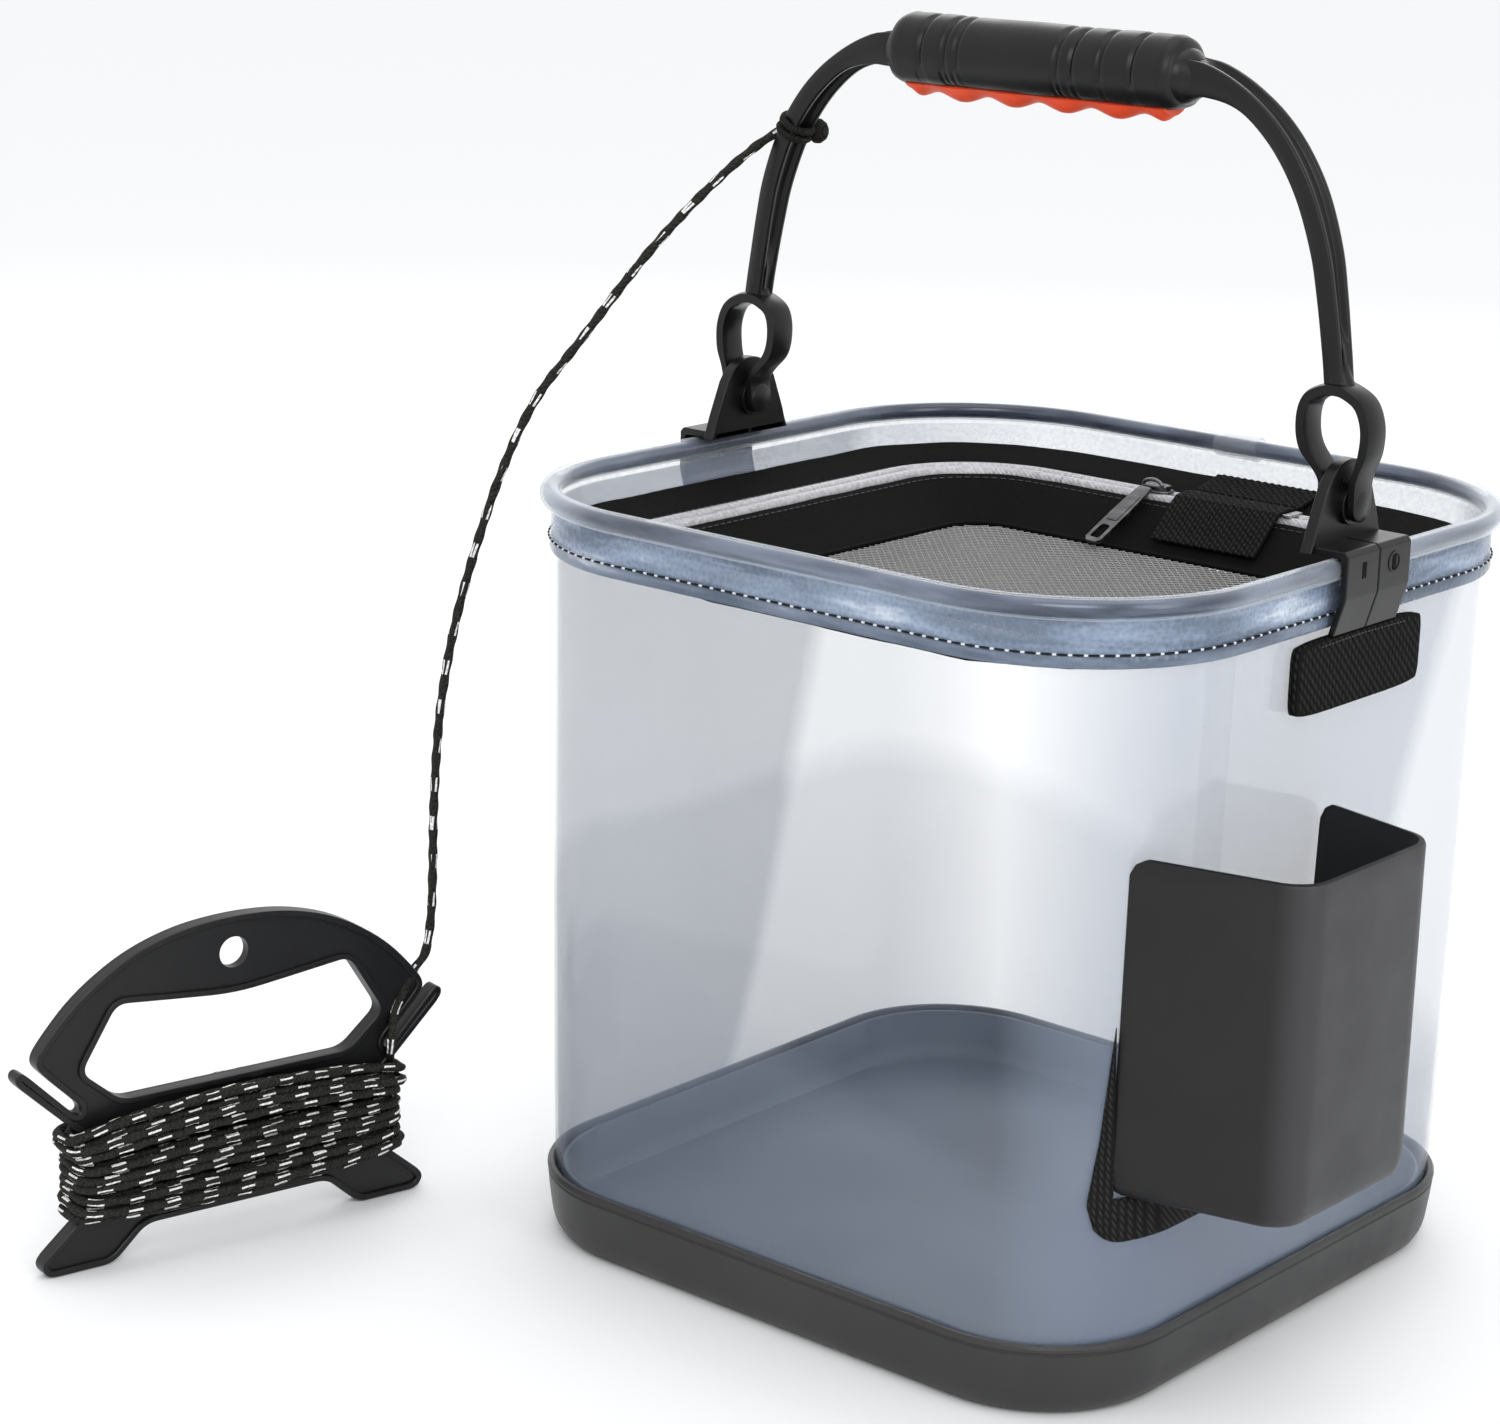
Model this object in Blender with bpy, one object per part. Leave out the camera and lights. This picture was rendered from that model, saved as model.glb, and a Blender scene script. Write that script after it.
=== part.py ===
"""Soft square bucket with a bail handle, a zipped mesh lid, a side pouch and a rope on a hand winder.

Metres, +Z up. The origin is the centre of the underside of the base. The bail's hinge axis runs along X.
"""

import math

import bmesh
import bpy
from mathutils import Matrix, Vector

# Bucket, as half widths of rounded squares
GAP = 0.0003
CORNER_STEPS = 7
TRAY_HALF = 0.1205
TRAY_CORNER = 0.0475
TRAY_TOP = 0.0245
WALL_THICK = 0.0010
WALL_TOP = 0.2478
WALL_STATIONS = (
    (0.0065, 0.1174, 0.0450),
    (0.0245, 0.1180, 0.0455),
    (0.0700, 0.1196, 0.0487),
    (0.1200, 0.1212, 0.0520),
    (0.1780, 0.1227, 0.0563),
    (0.2300, 0.1240, 0.0600),
    (WALL_TOP, 0.1246, 0.0615),
)
LID_HALF = 0.1246
LID_CORNER = 0.0615
BAND_BOTTOM = 0.2345
BAND_HALF = 0.1259
BAND_CORNER = 0.0628
PIPING_HALF = 0.1265
PIPING_CORNER = 0.0640
PIPING_RADIUS = 0.0035
PIPING_Z = 0.2522

# Lid and zip
LID_HINGE = Vector((0.0, 0.1066, 0.2372))
ZIP_OUTER = (0.1018, 0.1059, 0.2343)
ZIP_INNER = (0.0965, 0.1008, 0.2340)
ZIP_RUN_HALF = 0.0540
PATCH_LOW_X = -0.0050
PATCH_HIGH_X = 0.0370
SLIDER_X = -0.0170
SLIDER_LOW_Z = 0.2373
SLIDER_LOW_Y = 0.0970
SLIDER_HIGH_Y = 0.1056
TAB_HALF = 0.0040
TAB_HALF_THICK = 0.0007
TAB_LENGTH = 0.0290
TAB_SLOPE = math.radians(35.0)
TAB_TURN = math.radians(15.0)
TAB_HINGE = Vector((SLIDER_X, 0.0952, 0.2392))

# Side pouch, on the +X face
POUCH_FRONT_X = 0.1685
POUCH_THICK = 0.0022
POUCH_BOTTOM = 0.0720
POUCH_TOP = 0.1780
FLANGE_LOW = 0.0570
FLANGE_HIGH = 0.0714
FLANGE_THICK = 0.0016

# Bail and its clips
PIVOT_X = 0.1185
PIVOT_Z = 0.2690
GRIP_Z = 0.3910
GRIP_HALF = 0.0550
GRIP_RADIUS = 0.0123
GRIP_BORE = 0.0058
LEG_THICK = 0.0030
LEG_HALF_Y = 0.0050
LEG_INNER = 0.0041
BOSS_HALF = 0.0038
PIN_RADIUS = 0.0020
PIN_BORE = 0.0023
PIN_DEPTH = 0.0018
PLATE_HALF_Y = 0.0180
PLATE_OUTER = 0.1325
PLATE_THICK = 0.0022
SHOULDER_TOP = 0.2586
PAD_INNER = 0.1250
PAD_OUTER = 0.1288
PAD_OUTLINE = (
    (0.0350, 0.2140),
    (0.0310, 0.2095),
    (-0.0310, 0.2095),
    (-0.0350, 0.2140),
    (-0.0350, 0.2270),
    (-0.0320, 0.2305),
    (-0.0230, 0.2320),
    (0.0230, 0.2320),
    (0.0320, 0.2305),
    (0.0350, 0.2270),
)
TONGUE_THICK = 0.0040

# Rope and winder
WINDER_MID = Vector((-0.1794, -0.1813, 0.0))
WINDER_ALONG = Vector((0.22133, 0.97520, 0.0))
WINDER_THICK = 0.0060
ROPE_RADIUS = 0.0015
KNOT_AT = Vector((-0.0985, 0.0092, 0.3600))
ROPE_ROUTE = (
    (-0.1049, 0.0002, 0.3612),
    (-0.1108, -0.0112, 0.3532),
    (-0.1188, -0.0265, 0.3385),
    (-0.1278, -0.0438, 0.3185),
    (-0.1372, -0.0620, 0.2935),
    (-0.1446, -0.0763, 0.2735),
    (-0.1500, -0.0866, 0.2500),
    (-0.1544, -0.0952, 0.2220),
    (-0.1576, -0.1014, 0.1960),
    (-0.1597, -0.1055, 0.1680),
    (-0.1606, -0.1072, 0.1380),
    (-0.1608, -0.1076, 0.1120),
    (-0.1611, -0.1082, 0.0960),
    (-0.1620, -0.1098, 0.0845),
    (-0.1636, -0.1130, 0.0795),
)


def clear_scene():
    for obj in list(bpy.data.objects):
        bpy.data.objects.remove(obj, do_unlink=True)


def material(name, colour, roughness, metallic=0.0):
    made = bpy.data.materials.new(name)
    made.use_nodes = True
    shader = made.node_tree.nodes["Principled BSDF"]
    shader.inputs["Base Color"].default_value = (*colour, 1.0)
    shader.inputs["Roughness"].default_value = roughness
    shader.inputs["Metallic"].default_value = metallic
    return made


def add_object(name, mesh, made, origin=(0.0, 0.0, 0.0)):
    """Places the mesh as an object whose origin is at the given point."""
    origin = Vector(origin)
    mesh.transform(Matrix.Translation(-origin))
    mesh.materials.append(made)
    obj = bpy.data.objects.new(name, mesh)
    bpy.context.scene.collection.objects.link(obj)
    obj.location = origin
    return obj


def finished_mesh(name, bm, smooth=True):
    bmesh.ops.recalc_face_normals(bm, faces=bm.faces)
    if bm.calc_volume(signed=True) < 0.0:
        bmesh.ops.reverse_faces(bm, faces=bm.faces)
    for face in bm.faces:
        face.smooth = smooth
    mesh = bpy.data.meshes.new(name)
    bm.to_mesh(mesh)
    bm.free()
    return mesh


def rounded_square(half, corner, z, steps=CORNER_STEPS):
    """Points of a rounded square, anticlockwise from its +X side."""
    points = []
    middle = half - corner
    for turn in range(4):
        quarter = Matrix.Rotation(math.radians(90.0 * turn), 2)
        for step in range(steps + 1):
            angle = math.radians(90.0) * step / steps
            corner_point = Vector((middle + corner * math.cos(angle), middle + corner * math.sin(angle)))
            turned = quarter @ corner_point
            points.append((turned.x, turned.y, z))
    return points


def lid_ring(half, z):
    """A rounded square that keeps the lid's corner centres."""
    return rounded_square(half, LID_CORNER - (LID_HALF - half), z)


def loft(bm, rings, ring_closed=True, wrap=False, caps=True):
    """Joins equal rings of points with quads. wrap joins the last ring to the first."""
    made = [[bm.verts.new(point) for point in ring] for ring in rings]
    pairs = list(zip(made, made[1:]))
    if wrap:
        pairs.append((made[-1], made[0]))
    for low, high in pairs:
        count = len(low)
        for index in range(count if ring_closed else count - 1):
            after = (index + 1) % count
            bm.faces.new((low[index], low[after], high[after], high[index]))
    if caps and not wrap:
        bm.faces.new(made[0])
        bm.faces.new(list(reversed(made[-1])))
    return made


def shell_object(name, rings, made, smooth=True):
    """A closed band made from rings that go up the outside and down the inside."""
    bm = bmesh.new()
    loft(bm, rings, wrap=True)
    return add_object(name, finished_mesh(name, bm, smooth), made)


def capped_object(name, rings, made, origin=(0.0, 0.0, 0.0), smooth=True):
    bm = bmesh.new()
    loft(bm, rings)
    return add_object(name, finished_mesh(name, bm, smooth), made, origin)


def prism_object(name, outline, made, origin=(0.0, 0.0, 0.0), smooth=False):
    """outline holds (start, end) point pairs: two copies of one polygon."""
    starts = [pair[0] for pair in outline]
    ends = [pair[1] for pair in outline]
    return capped_object(name, [starts, ends], made, origin, smooth)


def prism_along_y(name, points, low, high, made, origin=(0.0, 0.0, 0.0)):
    return prism_object(name, [((x, low, z), (x, high, z)) for x, z in points], made, origin)


def prism_along_x(name, points, low, high, made, origin=(0.0, 0.0, 0.0)):
    return prism_object(name, [((low, y, z), (high, y, z)) for y, z in points], made, origin)


def cylinder_along_x(name, low, high, centre_y, centre_z, radius, made, steps=20):
    points = []
    for step in range(steps):
        angle = 2.0 * math.pi * step / steps
        points.append((centre_y + radius * math.cos(angle), centre_z + radius * math.sin(angle)))
    obj = prism_along_x(name, points, low, high, made)
    for face in obj.data.polygons:
        face.use_smooth = len(face.vertices) == 4
    return obj


def boolean(target, other, operation):
    """Adds an exact Boolean and hides the helper it uses."""
    modifier = target.modifiers.new(operation.title() + "_" + other.name, "BOOLEAN")
    modifier.operation = operation
    modifier.solver = "EXACT"
    modifier.object = other
    other.hide_render = True
    other.display_type = "WIRE"


def tube_object(name, points, radius, made, cyclic=False, resolution=2):
    curve = bpy.data.curves.new(name, "CURVE")
    curve.dimensions = "3D"
    curve.bevel_depth = radius
    curve.bevel_resolution = resolution
    curve.use_fill_caps = not cyclic
    curve.resolution_u = 1
    spline = curve.splines.new("POLY")
    spline.points.add(len(points) - 1)
    for point, place in zip(spline.points, points):
        point.co = (*place, 1.0)
    spline.use_cyclic_u = cyclic
    curve.materials.append(made)
    obj = bpy.data.objects.new(name, curve)
    bpy.context.scene.collection.objects.link(obj)
    return obj


def smooth_route(route, spacing):
    """Evenly spaced points on a Catmull-Rom curve through the route."""
    places = [Vector(point) for point in route]
    places = [2.0 * places[0] - places[1]] + places + [2.0 * places[-1] - places[-2]]
    dense = []
    for index in range(1, len(places) - 2):
        before, first, second, after = places[index - 1 : index + 3]
        for step in range(20):
            t = step / 20.0
            value = 2.0 * first + (second - before) * t
            value += (2.0 * before - 5.0 * first + 4.0 * second - after) * t * t
            value += (3.0 * first - before - 3.0 * second + after) * t * t * t
            dense.append(0.5 * value)
    dense.append(places[-2])
    length = sum((b - a).length for a, b in zip(dense, dense[1:]))
    count = max(2, round(length / spacing))
    kept = [dense[0]]
    walked = 0.0
    for first, second in zip(dense, dense[1:]):
        walked += (second - first).length
        if walked >= length * len(kept) / count:
            kept.append(second)
    if (kept[-1] - dense[-1]).length > 0.3 * spacing:
        kept.append(dense[-1])
    kept[-1] = dense[-1]
    return kept


def build_base(made):
    corner = TRAY_CORNER
    rings = [
        rounded_square(TRAY_HALF - 0.0100, corner - 0.0075, 0.0),
        rounded_square(TRAY_HALF - 0.0040, corner - 0.0030, 0.0022),
        rounded_square(TRAY_HALF - 0.0015, corner - 0.0015, 0.0075),
        rounded_square(TRAY_HALF, corner, 0.0225),
        rounded_square(TRAY_HALF - 0.0004, corner - 0.0004, TRAY_TOP),
        rounded_square(TRAY_HALF - 0.0022, corner - 0.0020, TRAY_TOP),
        rounded_square(TRAY_HALF - 0.0027, corner - 0.0025, 0.0060),
        rounded_square(TRAY_HALF - 0.0040, corner - 0.0035, 0.0035),
    ]
    capped_object("base_tray", rings, made["tray"])
    rings = [
        rounded_square(0.1080, 0.0380, 0.0042),
        rounded_square(0.1135, 0.0420, 0.0055),
        rounded_square(0.1152, 0.0436, 0.0100),
        rounded_square(0.1158, 0.0440, 0.0238),
        rounded_square(0.1146, 0.0432, 0.0238),
        rounded_square(0.1140, 0.0428, 0.0105),
        rounded_square(0.1120, 0.0415, 0.0068),
        rounded_square(0.1065, 0.0375, 0.0055),
    ]
    capped_object("floor_pan", rings, made["liner"])


def build_wall(made):
    outside = [rounded_square(half, corner, z) for z, half, corner in WALL_STATIONS]
    inside = [rounded_square(half - WALL_THICK, corner - WALL_THICK, z) for z, half, corner in WALL_STATIONS]
    shell_object("wall_clear", outside + inside[::-1], made["clear"])
    band = [
        rounded_square(BAND_HALF, BAND_CORNER, BAND_BOTTOM),
        rounded_square(BAND_HALF, BAND_CORNER, WALL_TOP),
        rounded_square(BAND_HALF - WALL_THICK, BAND_CORNER - WALL_THICK, WALL_TOP),
        rounded_square(BAND_HALF - WALL_THICK, BAND_CORNER - WALL_THICK, BAND_BOTTOM),
    ]
    shell_object("rim_band", band, made["band"])
    seam = []
    for z, half, _ in WALL_STATIONS[1:-1]:
        seam.append((half + 0.0004, z + 0.0008))
    outline = seam + [(y + 0.0008, z) for y, z in reversed(seam)]
    prism_along_x("wall_seam_strip", outline, -0.0060, 0.0060, made["clear"])


def build_rim(made):
    points = rounded_square(PIPING_HALF, PIPING_CORNER, PIPING_Z, 9)
    tube_object("rim_piping", points, PIPING_RADIUS, made["piping"], cyclic=True)
    rings = []
    for x, radius in ((-0.0085, 0.0042), (0.0085, 0.0042), (0.0085, 0.0038), (-0.0085, 0.0038)):
        ring = []
        for step in range(16):
            angle = 2.0 * math.pi * step / 16
            y = PIPING_HALF + radius * math.cos(angle)
            ring.append((x, y, PIPING_Z + radius * math.sin(angle)))
        rings.append(ring)
    shell_object("rim_joint_sleeve", rings, made["clear"])


def open_ring(half, z, rear_gap):
    """The lid ring without its rear run, which lies between x = -rear_gap and rear_gap."""
    ring = lid_ring(half, z)
    kept = [point for point in ring if point[1] < 0.0 or abs(point[0]) > rear_gap]
    start = next(i for i, point in enumerate(kept) if point[0] < 0.0 and point[1] > 0.0)
    return [Vector(point) for point in kept[start:] + kept[:start]]


def strip_section(low, high, z):
    """A low rounded zip strip between two half widths: (half, z) pairs."""
    return (
        (high, z),
        (high, z + 0.0018),
        (high - 0.0011, z + 0.0027),
        (low + 0.0011, z + 0.0027),
        (low, z + 0.0018),
        (low, z),
    )


def strip_ring(name, section, rear_gap, made):
    """A strip that follows the lid's outline but for its rear run, with closed ends."""
    columns = [open_ring(half, z, rear_gap) for half, z in section]
    rings = [[column[i] for column in columns] for i in range(len(columns[0]))]
    return capped_object(name, rings, made, smooth=True)


def build_lid(made):
    flange = (
        (0.1229, 0.2405),
        (0.1217, 0.2405),
        (0.1070, 0.2352),
        (0.1070, 0.2340),
        (0.1229, 0.2376),
    )
    shell_object("lid_flange", [lid_ring(half, z) for half, z in flange], made["fabric"])
    outer = strip_section(*ZIP_OUTER)
    inner = strip_section(*ZIP_INNER)
    strip_ring("zip_strip_outer", outer, ZIP_RUN_HALF + GAP, made["zip"])
    strip_ring("zip_strip_inner", inner, ZIP_RUN_HALF + GAP, made["zip"])
    prism_along_x("zip_strip_rear_outer", outer, -ZIP_RUN_HALF, ZIP_RUN_HALF, made["zip"])
    prism_along_x("zip_strip_rear_inner", inner, -ZIP_RUN_HALF, ZIP_RUN_HALF, made["zip"])
    panel = (
        (0.0961, 0.2350),
        (0.0961, 0.2338),
        (0.0790, 0.2190),
        (0.0790, 0.2203),
    )
    shell_object("lid_panel", [lid_ring(half, z) for half, z in panel], made["fabric"])
    mesh = [
        lid_ring(0.0786, 0.2188),
        lid_ring(0.0786, 0.2200),
        lid_ring(0.0720, 0.2166),
        lid_ring(0.0660, 0.2144),
    ]
    under = [
        lid_ring(0.0660, 0.2132),
        lid_ring(0.0720, 0.2154),
    ]
    capped_object("lid_mesh", under + mesh, made["mesh"])
    piping = lid_ring(0.0776, 0.2213)
    tube_object("lid_binding", piping, 0.0008, made["fabric"], cyclic=True, resolution=1)


def build_patch(made):
    root = ((0.1078, 0.2378), (0.1213, 0.2412), (0.1213, 0.2425), (0.1078, 0.2391))
    prism_along_x("patch_fixed", root, PATCH_LOW_X, PATCH_HIGH_X, made["webbing"])
    lid = (
        (0.1060, 0.2376),
        (0.1060, 0.2389),
        (0.0955, 0.2389),
        (0.0808, 0.2262),
        (0.0808, 0.2246),
        (0.0957, 0.2376),
    )
    prism_along_x("patch_lid", lid, PATCH_LOW_X, PATCH_HIGH_X, made["webbing"])
    stop_low = PATCH_HIGH_X + GAP
    points = ((0.0968, 0.2372), (0.1056, 0.2372), (0.1056, 0.2382), (0.0968, 0.2382))
    prism_along_x("zip_end_stop", points, stop_low, stop_low + 0.0030, made["zip"])


def tab_plate(name, outline, half_thick, made):
    """A flat plate in the pull tab's own frame, which reaches along -Y from its hinge."""
    pairs = [((x, -along, -half_thick), (x, -along, half_thick)) for x, along in outline]
    return prism_object(name, pairs, made["gunmetal"])


def build_slider(made):
    side = ((-0.0065, SLIDER_LOW_Z), (0.0065, SLIDER_LOW_Z), (0.0058, 0.2398), (-0.0058, 0.2398))
    body = prism_along_y(
        "zip_slider",
        [(SLIDER_X + x, z) for x, z in side],
        SLIDER_LOW_Y,
        SLIDER_HIGH_Y,
        made["gunmetal"],
        (SLIDER_X, 0.5 * (SLIDER_LOW_Y + SLIDER_HIGH_Y), SLIDER_LOW_Z),
    )
    bridge_points = ((-0.0044, 0.2390), (0.0044, 0.2390), (0.0032, 0.2418), (-0.0032, 0.2418))
    bridge = prism_along_y(
        "slider_bridge_part",
        [(SLIDER_X + x, z) for x, z in bridge_points],
        0.0985,
        0.1041,
        made["gunmetal"],
    )
    boolean(body, bridge, "UNION")
    chamfer = 0.0015
    outline = (
        (-TAB_HALF, 0.0),
        (TAB_HALF, 0.0),
        (TAB_HALF, TAB_LENGTH - chamfer),
        (TAB_HALF - chamfer, TAB_LENGTH),
        (-TAB_HALF + chamfer, TAB_LENGTH),
        (-TAB_HALF, TAB_LENGTH - chamfer),
    )
    tab = tab_plate("zip_pull_tab", outline, TAB_HALF_THICK, made)
    hole = ((-0.0024, 0.0215), (0.0024, 0.0215), (0.0024, 0.0265), (-0.0024, 0.0265))
    slot = tab_plate("tab_slot_cutter", hole, 4.0 * TAB_HALF_THICK, made)
    boolean(tab, slot, "DIFFERENCE")
    placed = Matrix.Rotation(-TAB_TURN, 4, "Z") @ Matrix.Rotation(TAB_SLOPE, 4, "X")
    for obj in (tab, slot):
        obj.rotation_euler = placed.to_euler()
        obj.location = TAB_HINGE


def pouch_outline(inset, z, rear_shift=0.0):
    """The pouch in plan at one height, anticlockwise from its -Y rear corner."""
    corner = 0.0110 - 0.5 * inset
    points = [(0.1160 + 0.5 * inset - rear_shift, -0.0970 + inset)]
    turns = (
        (POUCH_FRONT_X - inset - corner, -0.0880 + inset + corner, -80.0, 0.0),
        (POUCH_FRONT_X - inset - corner, -0.0140 - inset - corner, 0.0, 80.0),
    )
    for centre_x, centre_y, start, end in turns:
        for step in range(5):
            angle = math.radians(start + (end - start) * step / 4)
            points.append((centre_x + corner * math.cos(angle), centre_y + corner * math.sin(angle)))
    points.append((0.1233 - rear_shift, -0.0060 - inset))
    if not rear_shift:
        points.append((0.1213, -0.0690))
    return [(x, y, z) for x, y in points]


def build_pouch(made):
    rings = [
        pouch_outline(0.0055, POUCH_BOTTOM),
        pouch_outline(0.0022, POUCH_BOTTOM + 0.0016),
        pouch_outline(0.0005, POUCH_BOTTOM + 0.0048),
        pouch_outline(0.0, POUCH_BOTTOM + 0.0100),
        pouch_outline(0.0, POUCH_TOP),
    ]
    pouch = capped_object("pouch", rings, made["tray"])
    low = POUCH_BOTTOM + POUCH_THICK
    rings = [
        pouch_outline(0.0055 + POUCH_THICK, low, 0.02),
        pouch_outline(0.0022 + POUCH_THICK, low + 0.0016, 0.02),
        pouch_outline(POUCH_THICK, low + 0.0070, 0.02),
        pouch_outline(POUCH_THICK, POUCH_TOP + 0.01, 0.02),
    ]
    hollow = capped_object("pouch_hollow_cutter", rings, made["tray"])
    boolean(pouch, hollow, "DIFFERENCE")
    build_pouch_flange(made)


def build_pouch_flange(made):
    """A thin foot under the pouch that follows the wall round the bucket's corner."""
    track = []
    for x, y, _ in rounded_square(0.1200, 0.0490, 0.0):
        if x > 0.0 and -0.103 < y < -0.060:
            track.append((x, y))
    track.append((0.1200, -0.0070))
    outside = []
    for (x, y), (out_x, out_y) in zip(track, outward_normals(track)):
        outside.append((x + FLANGE_THICK * out_x, y + FLANGE_THICK * out_y))
    outline = track + outside[::-1]
    pairs = [((x, y, FLANGE_LOW), (x, y, FLANGE_HIGH)) for x, y in outline]
    prism_object("pouch_flange", pairs, made["flange"])


def outward_normals(track):
    """Unit normals of an open line in plan, on its right-hand side."""
    normals = []
    for index in range(len(track)):
        before = track[max(index - 1, 0)]
        after = track[min(index + 1, len(track) - 1)]
        along = Vector((after[0] - before[0], after[1] - before[1])).normalized()
        normals.append((along.y, -along.x))
    return normals


def clip_profile():
    """The clip's plate and shoulder, seen along Y on the +X side."""
    inner = PLATE_OUTER - PLATE_THICK
    return (
        (0.1290, 0.2324),
        (PLATE_OUTER, 0.2440),
        (PLATE_OUTER, SHOULDER_TOP - 0.0008),
        (PLATE_OUTER - 0.0008, SHOULDER_TOP),
        (PIVOT_X - 0.5 * TONGUE_THICK, SHOULDER_TOP),
        (PIVOT_X - 0.5 * TONGUE_THICK, SHOULDER_TOP - 0.0026),
        (inner, SHOULDER_TOP - 0.0026),
        (inner, 0.2440),
        (0.1266, 0.2324),
    )


def tongue_outline():
    """Half of the tongue up to its rounded top, then the mirrored half, as (y, z) pairs."""
    points = [(0.0200, SHOULDER_TOP - 0.0026), (0.0185, SHOULDER_TOP + 0.0010)]
    points += [(0.0170, 0.2640), (0.0120, 0.2755)]
    for step in range(1, 5):
        angle = math.radians(30.0 + 15.0 * step)
        points.append((0.0135 * math.cos(angle), 0.2688 + 0.0140 * math.sin(angle)))
    return points + [(-y, z) for y, z in reversed(points[:-1])]


def mirrored(points, side):
    return [(side * a, b) for a, b in points]


def build_clip(side, name, made):
    black = made["moulded"]
    bracket = prism_along_y(
        "clip_bracket_" + name, mirrored(clip_profile(), side), -PLATE_HALF_Y, PLATE_HALF_Y, black
    )
    low = side * PIVOT_X - 0.5 * TONGUE_THICK
    tongue = prism_along_x("clip_tongue_part_" + name, tongue_outline(), low, low + TONGUE_THICK, black)
    boolean(bracket, tongue, "UNION")
    centre = side * PIVOT_X
    boss = cylinder_along_x(
        "clip_boss_part_" + name, centre - BOSS_HALF, centre + BOSS_HALF, 0.0, PIVOT_Z, 0.0062, black
    )
    boolean(bracket, boss, "UNION")
    bore = cylinder_along_x(
        "clip_bore_cutter_" + name, centre - 0.02, centre + 0.02, 0.0, PIVOT_Z, PIN_BORE, black, 16
    )
    boolean(bracket, bore, "DIFFERENCE")
    for index, middle in enumerate((-0.0085, 0.0085)):
        points = ((middle - 0.0011, 0.2495), (middle + 0.0011, 0.2495), (middle + 0.0011, 0.2545))
        points += ((middle - 0.0011, 0.2545),)
        low = side * PLATE_OUTER - 0.006
        slot = prism_along_x(f"clip_slot_cutter_{name}_{index}", points, low, low + 0.012, black)
        boolean(bracket, slot, "DIFFERENCE")
    reach = LEG_INNER + PIN_DEPTH
    cylinder_along_x(
        "pivot_pin_" + name, centre - reach, centre + reach, 0.0, PIVOT_Z, PIN_RADIUS, made["pin"], 14
    )
    outer = [(side * PAD_OUTER, y, z) for y, z in PAD_OUTLINE]
    inner = [(side * PAD_INNER, y, z) for y, z in PAD_OUTLINE]
    capped_object("clip_pad_" + name, [inner, outer], made["webbing"], smooth=False)


ARCH_ROUTE = (
    (0.1150, 0.2990),
    (0.1140, 0.3060),
    (0.1128, 0.3140),
    (0.1098, 0.3310),
    (0.1068, 0.3440),
    (0.1010, 0.3590),
    (0.0935, 0.3710),
    (0.0850, 0.3800),
    (0.0760, 0.3862),
    (0.0660, 0.3898),
    (0.0560, GRIP_Z),
    (0.0200, GRIP_Z),
)


def arch_points():
    """The bail's centre line in XZ, from the +X neck over the top to the -X one."""
    route = [Vector((x, 0.0, z)) for x, z in ARCH_ROUTE]
    fine = smooth_route(route, 0.0085)
    right = [(point.x, point.z) for point in fine]
    return right + [(-x, z) for x, z in reversed(right)]


def beam_section(is_plain):
    """The bail's section as (across the arch, along Y): channelled, or plain near its ends."""
    web = 0.0028 if is_plain else 0.0011
    lip = 0.0028
    wide = 0.0045 if not is_plain else 0.0036
    return (
        (lip, wide),
        (lip, wide - 0.0019),
        (web, wide - 0.0024),
        (web, -wide + 0.0024),
        (lip, -wide + 0.0019),
        (lip, -wide),
        (-lip, -wide),
        (-lip, -wide + 0.0019),
        (-web, -wide + 0.0024),
        (-web, wide - 0.0024),
        (-lip, wide - 0.0019),
        (-lip, wide),
    )


def fork_outline():
    """One fork of the bail, seen along Y on the +X side: down the outside, up the inside."""
    outer_leg = PIVOT_X + LEG_INNER
    inner_leg = PIVOT_X - LEG_INNER
    thick = LEG_THICK
    return (
        (0.1168, 0.3075),
        (0.1196, 0.3045),
        (0.1253, 0.3000),
        (0.1282, 0.2930),
        (0.1276, 0.2850),
        (outer_leg + thick, 0.2760),
        (outer_leg + thick, PIVOT_Z),
        (outer_leg, PIVOT_Z),
        (outer_leg, 0.2760),
        (0.1246, 0.2850),
        (0.1251, 0.2925),
        (0.1229, 0.2972),
        (0.1180, 0.3000),
        (0.1118, 0.3000),
        (0.1071, 0.2972),
        (0.1061, 0.2925),
        (0.1076, 0.2850),
        (inner_leg, 0.2760),
        (inner_leg, PIVOT_Z),
        (inner_leg - thick, PIVOT_Z),
        (inner_leg - thick, 0.2760),
        (0.1046, 0.2850),
        (0.1030, 0.2930),
        (0.1052, 0.3000),
        (0.1098, 0.3045),
        (0.1118, 0.3075),
    )


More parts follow.
